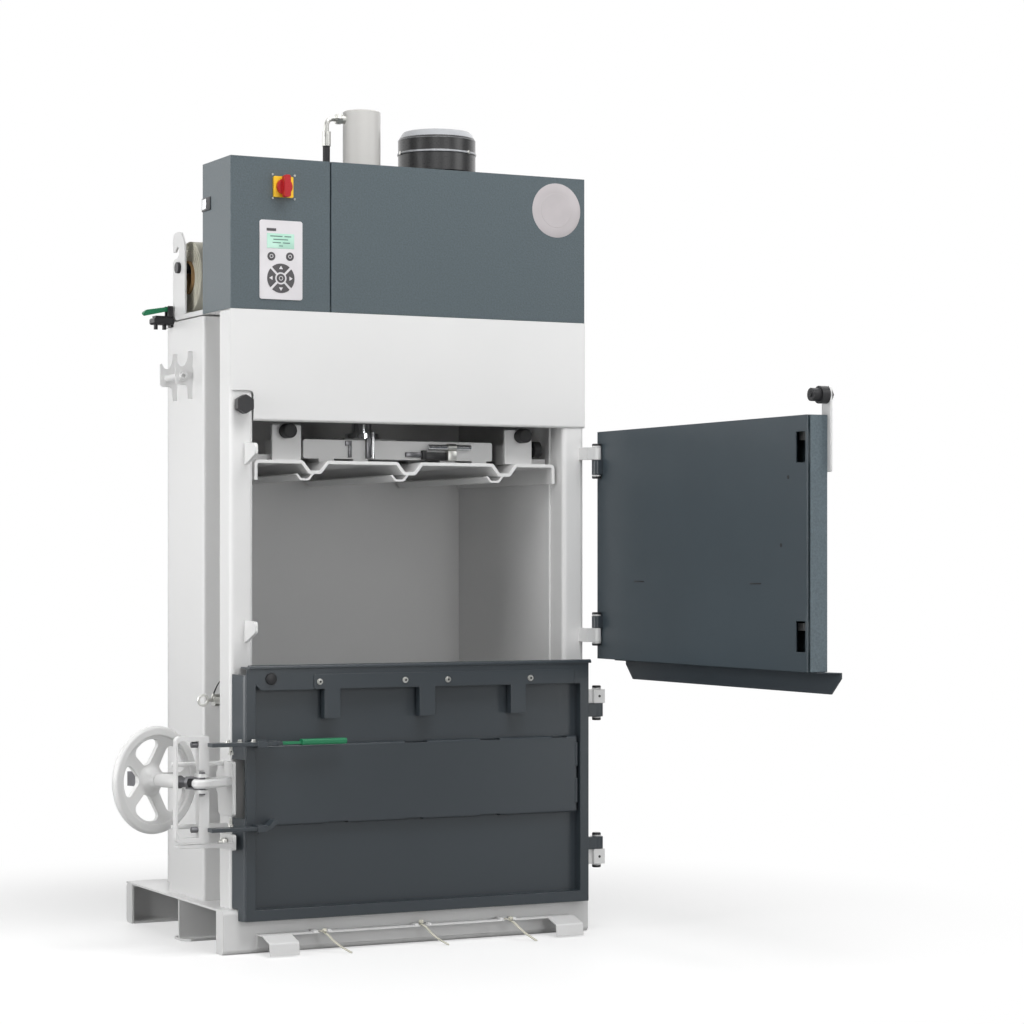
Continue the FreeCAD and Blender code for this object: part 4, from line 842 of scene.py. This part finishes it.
def sensor_post(bm):
    """Upright sensor rod, left of the middle."""
    turned(bm, [(0, 0), (5.5, 0), (5.5, 58), (4.8, 60), (4.8, 64), (3.2, 66), (0, 66)],
           (-70, 79, 1165), UP, 24)


piece("press_sensor_rod", sensor_post, BRIGHT, "press")
piece("press_sensor_holder", lambda bm: slab(bm, (-88, 74, 1166), (-77, 84, 1216), 1.5),
      DARK_STEEL, "press")


def beam_bracket(bm):
    """A small upright angle on the beam."""
    slab(bm, (-133, 79, 1168), (-125, 84, 1200), 1.2)
    slab(bm, (-141, 79, 1196), (-125, 84, 1208), 1.2)


piece("press_beam_bracket", beam_bracket, DARK_STEEL, "press")


# ---------------------------------------------------------------- upper door, as it stands open
DOOR_SKIN = 498.0           # X of the skin's outer face
KEEPER_FRONT, KEEPER_BACK = DOOR_SKIN + 26.0, DOOR_SKIN + 49.0


def latch_keepers(bm):
    """White blocks inside the pan, seen through the latch slots and beside the way of the lugs."""
    for y0, y1, z0, z1 in ((-922, -898, 1185, 1203), (-918, -894, 764, 781)):
        slab(bm, (KEEPER_FRONT, y0, z0), (KEEPER_BACK, y1, z1), 0.5)


piece("door_latch_keepers", latch_keepers, WHITE, "upper_door")


def skin_slot_shade(bm):
    """Two slots and two holes in the skin, drawn as thin black fillings: painted shade where the openings
    are.
    """
    for y0, y1, z in ((-252, -203, 868), (-782, -735, 867)):
        slab(bm, (DOOR_SKIN - 0.6, y0, z - 1.6), (DOOR_SKIN + 1.0, y1, z + 1.6), 0.4)
    for y, z in ((-894, 1103), (-865, 953)):
        turned(bm, [(0, -0.5), (4.5, -0.5), (4.5, 0.6), (0, 0.6)], (DOOR_SKIN, y, z), LEFT, 20)


piece("door_skin_slot_shade", skin_slot_shade, BLACK, "upper_door")


# ---------------------------------------------------------------- rear
rear_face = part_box("rear_chamber_wall")[1][1] / MM
cabinet_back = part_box("control_cabinet")[1][1] / MM
rear_spots = [(x, rear_face, z) for x in (-250, 0, 250) for z in (200, 800, 1400)]
screws("rear_rib_bolts", rear_spots, BACK, "frame", radius=9.0, height=6.0, tree=WHITE_SCREWS)


def cable_gland(bm):
    """A black gland where the cabinet's cable would leave at the back."""
    turned(bm, [(0, -2), (15, -2), (15, 5), (11, 6), (11, 16), (8.5, 20), (0, 20)],
           (-343, cabinet_back, 1560), BACK, 24)


piece("cable_gland", cable_gland, BLACK, "frame")


# ---------------------------------------------------------------- hinges, and the lock's fittings
HINGE = (486, -35)          # X and Y of the doors' hinge line
KNUCKLE_RADIUS = 16
PIN_ENDS = ((1127.0, 1202.5), (713.0, 785.0), (528.5, 603.5), (164.0, 239.0))


def pin_caps(bm):
    """Black caps on both ends of each hinge pin, and a plug on two of the knuckles."""
    for low, high in PIN_ENDS:
        for z, way in ((low, -1), (high, 1)):
            turned(bm, [(0, -0.5), (11.0, -0.5), (11.0, 4.0), (9.5, 5.5), (0, 5.5)],
                   (*HINGE, z), (0, 0, way), 32)
    for z in (583, 186):
        turned(bm, [(0, -0.5), (3.2, -0.5), (3.2, 0.6), (0, 0.6)],
               (HINGE[0], HINGE[1] - KNUCKLE_RADIUS, z), OUT, 16)


piece("hinge_pin_caps", pin_caps, BLACK, "frame")


def lock_arms(bm):
    """Flat arms that carry the lock from the left post."""
    for z in (445.0, 300.0):
        slab(bm, (-607, 14, z - 5), (SIDE, 26, z + 5), 1.5)


piece("lock_arms", lock_arms, WHEEL_PAINT, "frame")


def bar_bolts(bm):
    """Bolts and nuts that hold the closing bars to the door's lug."""
    for x in (-504, -474, -440):
        turned(bm, [(0, -0.5), (8.0, -0.5), (8.0, 1.0), (5.4, 1.0), (5.4, 5.5), (4.6, 6.2), (0, 6.2)],
               (x, BAR_LUG[1], 498.5), UP, 6 if x == -474 else 20)
    for low, high in ((470, 489.5), (304, 325)):
        turned(bm, [(0, 0), (7.0, 0), (7.0, 5.5), (4.0, 6.0), (4.0, high - low), (0, high - low)],
               (*BAR_LUG, low), UP, 20)


piece("bar_bolts", bar_bolts, ZINC, "lower_door")


def stop_bolt(bm):
    """A bolt with its washer and nut, standing out of the left side below the lock."""
    turned(bm, [(0, -0.5), (14, -0.5), (14, 2.5), (6, 2.5), (6, 12), (11, 12), (11, 20), (9.5, 21), (5.5, 21),
                (5.5, 29), (0, 29)], (-470, -2, 262), LEFT, 24)


piece("stop_bolt", stop_bolt, ZINC, "frame")


# ---------------------------------------------------------------- set
FLOOR_HALF = 14.0           # metres from the middle of the floor to its edges
FLOOR_GREY, FLOOR_LIFT = 0.52, 0.50
SHADOW_CENTRE = (0.0, 0.25, 0.0)
SHADOW_REACH = (0.75, 1.9)  # metres over which the floor turns from shadowed to plain white
DOME = 0.01                 # soft light from all round
ROOM_IN_FRONT = 0.08        # what glossy paint mirrors: a dim room behind the camera
ROOM_BEHIND = 1.85          # and the white sweep behind the object
ROOM_TURN = 0.3             # how far to each side of the X axis the one changes into the other

# Name, place, the point it is aimed at, width and height, watts.
SOFTBOXES = (
    ("left softbox", (-3.0, -0.2, 1.3), (0.0, 0.3, 0.95), (1.7, 1.9), 58.0),
    ("front softbox", (-1.9, -3.6, 2.6), (0.2, -0.3, 1.2), (1.8, 1.8), 15.0),
    ("middle softbox", (0.5, -4.2, 2.6), (0.2, 0.0, 1.2), (1.6, 1.4), 8.0),
    ("low softbox", (0.3, -4.2, 1.3), (0.3, 0.0, 0.9), (1.2, 1.2), 28.0),
    ("low right softbox", (2.6, -2.8, 0.55), (0.2, 0.0, 0.45), (0.9, 0.8), 8.0),
    ("right softbox", (2.7, -2.4, 2.7), (0.1, 0.1, 1.7), (1.6, 2.2), 29.0),
    ("high softbox", (0.0, -1.8, 4.2), (0.0, -0.1, 1.2), (2.4, 1.6), 102.0),
    ("top softbox", (0.6, 0.6, 4.4), (0.0, 0.2, 1.0), (2.6, 2.6), 8.0),
)

SENSOR, LENS, SHIFT_UP = 36.0, 97.55, 0.0457
CAMERA_PLACE = (-2.8187, -6.0758, 0.9228)
CAMERA_TURN = -26.939       # degrees about Z from looking straight at the front


def seen_directly(tree):
    """1 for rays from the camera, straight or through glass, and 0 for all others."""
    path = tree.nodes.new("ShaderNodeLightPath")
    seen = tree.nodes.new("ShaderNodeMath")
    seen.operation = "MAXIMUM"
    tree.links.new(path.outputs["Is Camera Ray"], seen.inputs[0])
    tree.links.new(path.outputs["Is Transmission Ray"], seen.inputs[1])
    return seen.outputs["Value"]


def eased(tree, value, start, end, low=0.0, high=1.0):
    """A value that runs smoothly from low at the start to high at the end."""
    ramp = tree.nodes.new("ShaderNodeMapRange")
    ramp.interpolation_type = "SMOOTHSTEP"
    ramp.inputs["From Min"].default_value = start
    ramp.inputs["From Max"].default_value = end
    ramp.inputs["To Min"].default_value = low
    ramp.inputs["To Max"].default_value = high
    tree.links.new(value, ramp.inputs["Value"])
    return ramp.outputs["Result"]


def either(tree, factor, first, second):
    """One shader where the factor is 0 and another where it is 1."""
    mix = tree.nodes.new("ShaderNodeMixShader")
    tree.links.new(factor, mix.inputs["Fac"])
    tree.links.new(first, mix.inputs[1])
    tree.links.new(second, mix.inputs[2])
    return mix.outputs["Shader"]


def glow(tree, strength):
    """An even white glow."""
    light = tree.nodes.new("ShaderNodeEmission")
    light.inputs["Strength"].default_value = strength
    return light.outputs["Emission"]


def floor_finish():
    """A pale floor that keeps the object's shadow near it and is plain white further out."""
    material = bpy.data.materials.new("studio floor")
    material.use_nodes = True
    tree = material.node_tree
    link = tree.links.new
    near = tree.nodes["Principled BSDF"]
    near.inputs["Base Color"].default_value = (FLOOR_GREY, FLOOR_GREY, FLOOR_GREY, 1.0)
    near.inputs["Roughness"].default_value = 0.6
    near.inputs["Specular IOR Level"].default_value = 0.1
    lifted = tree.nodes.new("ShaderNodeAddShader")
    link(near.outputs["BSDF"], lifted.inputs[0])
    link(glow(tree, FLOOR_LIFT), lifted.inputs[1])
    place = tree.nodes.new("ShaderNodeTexCoord")
    shifted = tree.nodes.new("ShaderNodeVectorMath")
    shifted.operation = "SUBTRACT"
    shifted.inputs[1].default_value = SHADOW_CENTRE
    link(place.outputs["Object"], shifted.inputs[0])
    distance = tree.nodes.new("ShaderNodeVectorMath")
    distance.operation = "LENGTH"
    link(shifted.outputs["Vector"], distance.inputs[0])
    seen = seen_directly(tree)
    far_and_seen = tree.nodes.new("ShaderNodeMath")
    far_and_seen.operation = "MULTIPLY"
    link(eased(tree, distance.outputs["Value"], *SHADOW_REACH), far_and_seen.inputs[0])
    link(seen, far_and_seen.inputs[1])
    close = either(tree, seen, near.outputs["BSDF"], lifted.outputs["Shader"])
    whole = either(tree, far_and_seen.outputs["Value"], close, glow(tree, 1.0))
    link(whole, tree.nodes["Material Output"].inputs["Surface"])
    return material


def lay_floor(scene):
    """A flat floor that runs past the picture on every side."""
    bm = bmesh.new()
    bmesh.ops.create_grid(bm, x_segments=1, y_segments=1, size=FLOOR_HALF)
    mesh = bpy.data.meshes.new("studio floor")
    bm.to_mesh(mesh)
    bm.free()
    floor = bpy.data.objects.new("studio floor", mesh)
    scene.collection.objects.link(floor)
    mesh.materials.append(floor_finish())


def light_world(scene):
    """White behind the object, a faint dome of light, and a room that glossy paint mirrors."""
    world = bpy.data.worlds.new("studio")
    scene.world = world
    world.use_nodes = True
    tree = world.node_tree
    link = tree.links.new
    backdrop = tree.nodes["Background"]
    backdrop.inputs["Color"].default_value = (1.0, 1.0, 1.0, 1.0)
    backdrop.inputs["Strength"].default_value = 1.0
    dome = tree.nodes.new("ShaderNodeBackground")
    dome.inputs["Color"].default_value = (0.96, 0.98, 1.0, 1.0)
    dome.inputs["Strength"].default_value = DOME
    room = tree.nodes.new("ShaderNodeBackground")
    toward = tree.nodes.new("ShaderNodeTexCoord")
    parts = tree.nodes.new("ShaderNodeSeparateXYZ")
    link(toward.outputs["Generated"], parts.inputs["Vector"])
    link(eased(tree, parts.outputs["Y"], -ROOM_TURN, ROOM_TURN, ROOM_IN_FRONT, ROOM_BEHIND),
         room.inputs["Strength"])
    path = tree.nodes.new("ShaderNodeLightPath")
    lit = either(tree, path.outputs["Is Glossy Ray"], dome.outputs["Background"], room.outputs["Background"])
    whole = either(tree, seen_directly(tree), lit, backdrop.outputs["Background"])
    link(whole, tree.nodes["World Output"].inputs["Surface"])


def softbox(scene, name, place, aim, size, power):
    """A rectangular lamp aimed at a point."""
    light = bpy.data.lights.new(name, "AREA")
    light.shape = "RECTANGLE"
    light.size, light.size_y = size
    light.energy = power
    lamp = bpy.data.objects.new(name, light)
    lamp.location = place
    lamp.rotation_euler = (Vector(aim) - Vector(place)).to_track_quat("-Z", "Y").to_euler()
    scene.collection.objects.link(lamp)


def set_camera(scene):
    """The photograph's camera: level, low and a little to the left of the machine."""
    eye = bpy.data.cameras.new("camera")
    eye.sensor_width = SENSOR
    eye.lens = LENS
    eye.shift_y = SHIFT_UP
    eye.clip_end = 100.0
    camera = bpy.data.objects.new("camera", eye)
    camera.location = CAMERA_PLACE
    camera.rotation_euler = (math.radians(90.0), 0.0, math.radians(CAMERA_TURN))
    scene.collection.objects.link(camera)
    scene.camera = camera


def studio():
    """The floor, the world, softboxes to the left, in front, to the right and above, and the camera."""
    scene = bpy.context.scene
    scene.view_settings.view_transform = "Standard"
    lay_floor(scene)
    light_world(scene)
    for name, place, aim, size, power in SOFTBOXES:
        softbox(scene, name, place, aim, size, power)
    set_camera(scene)


studio()
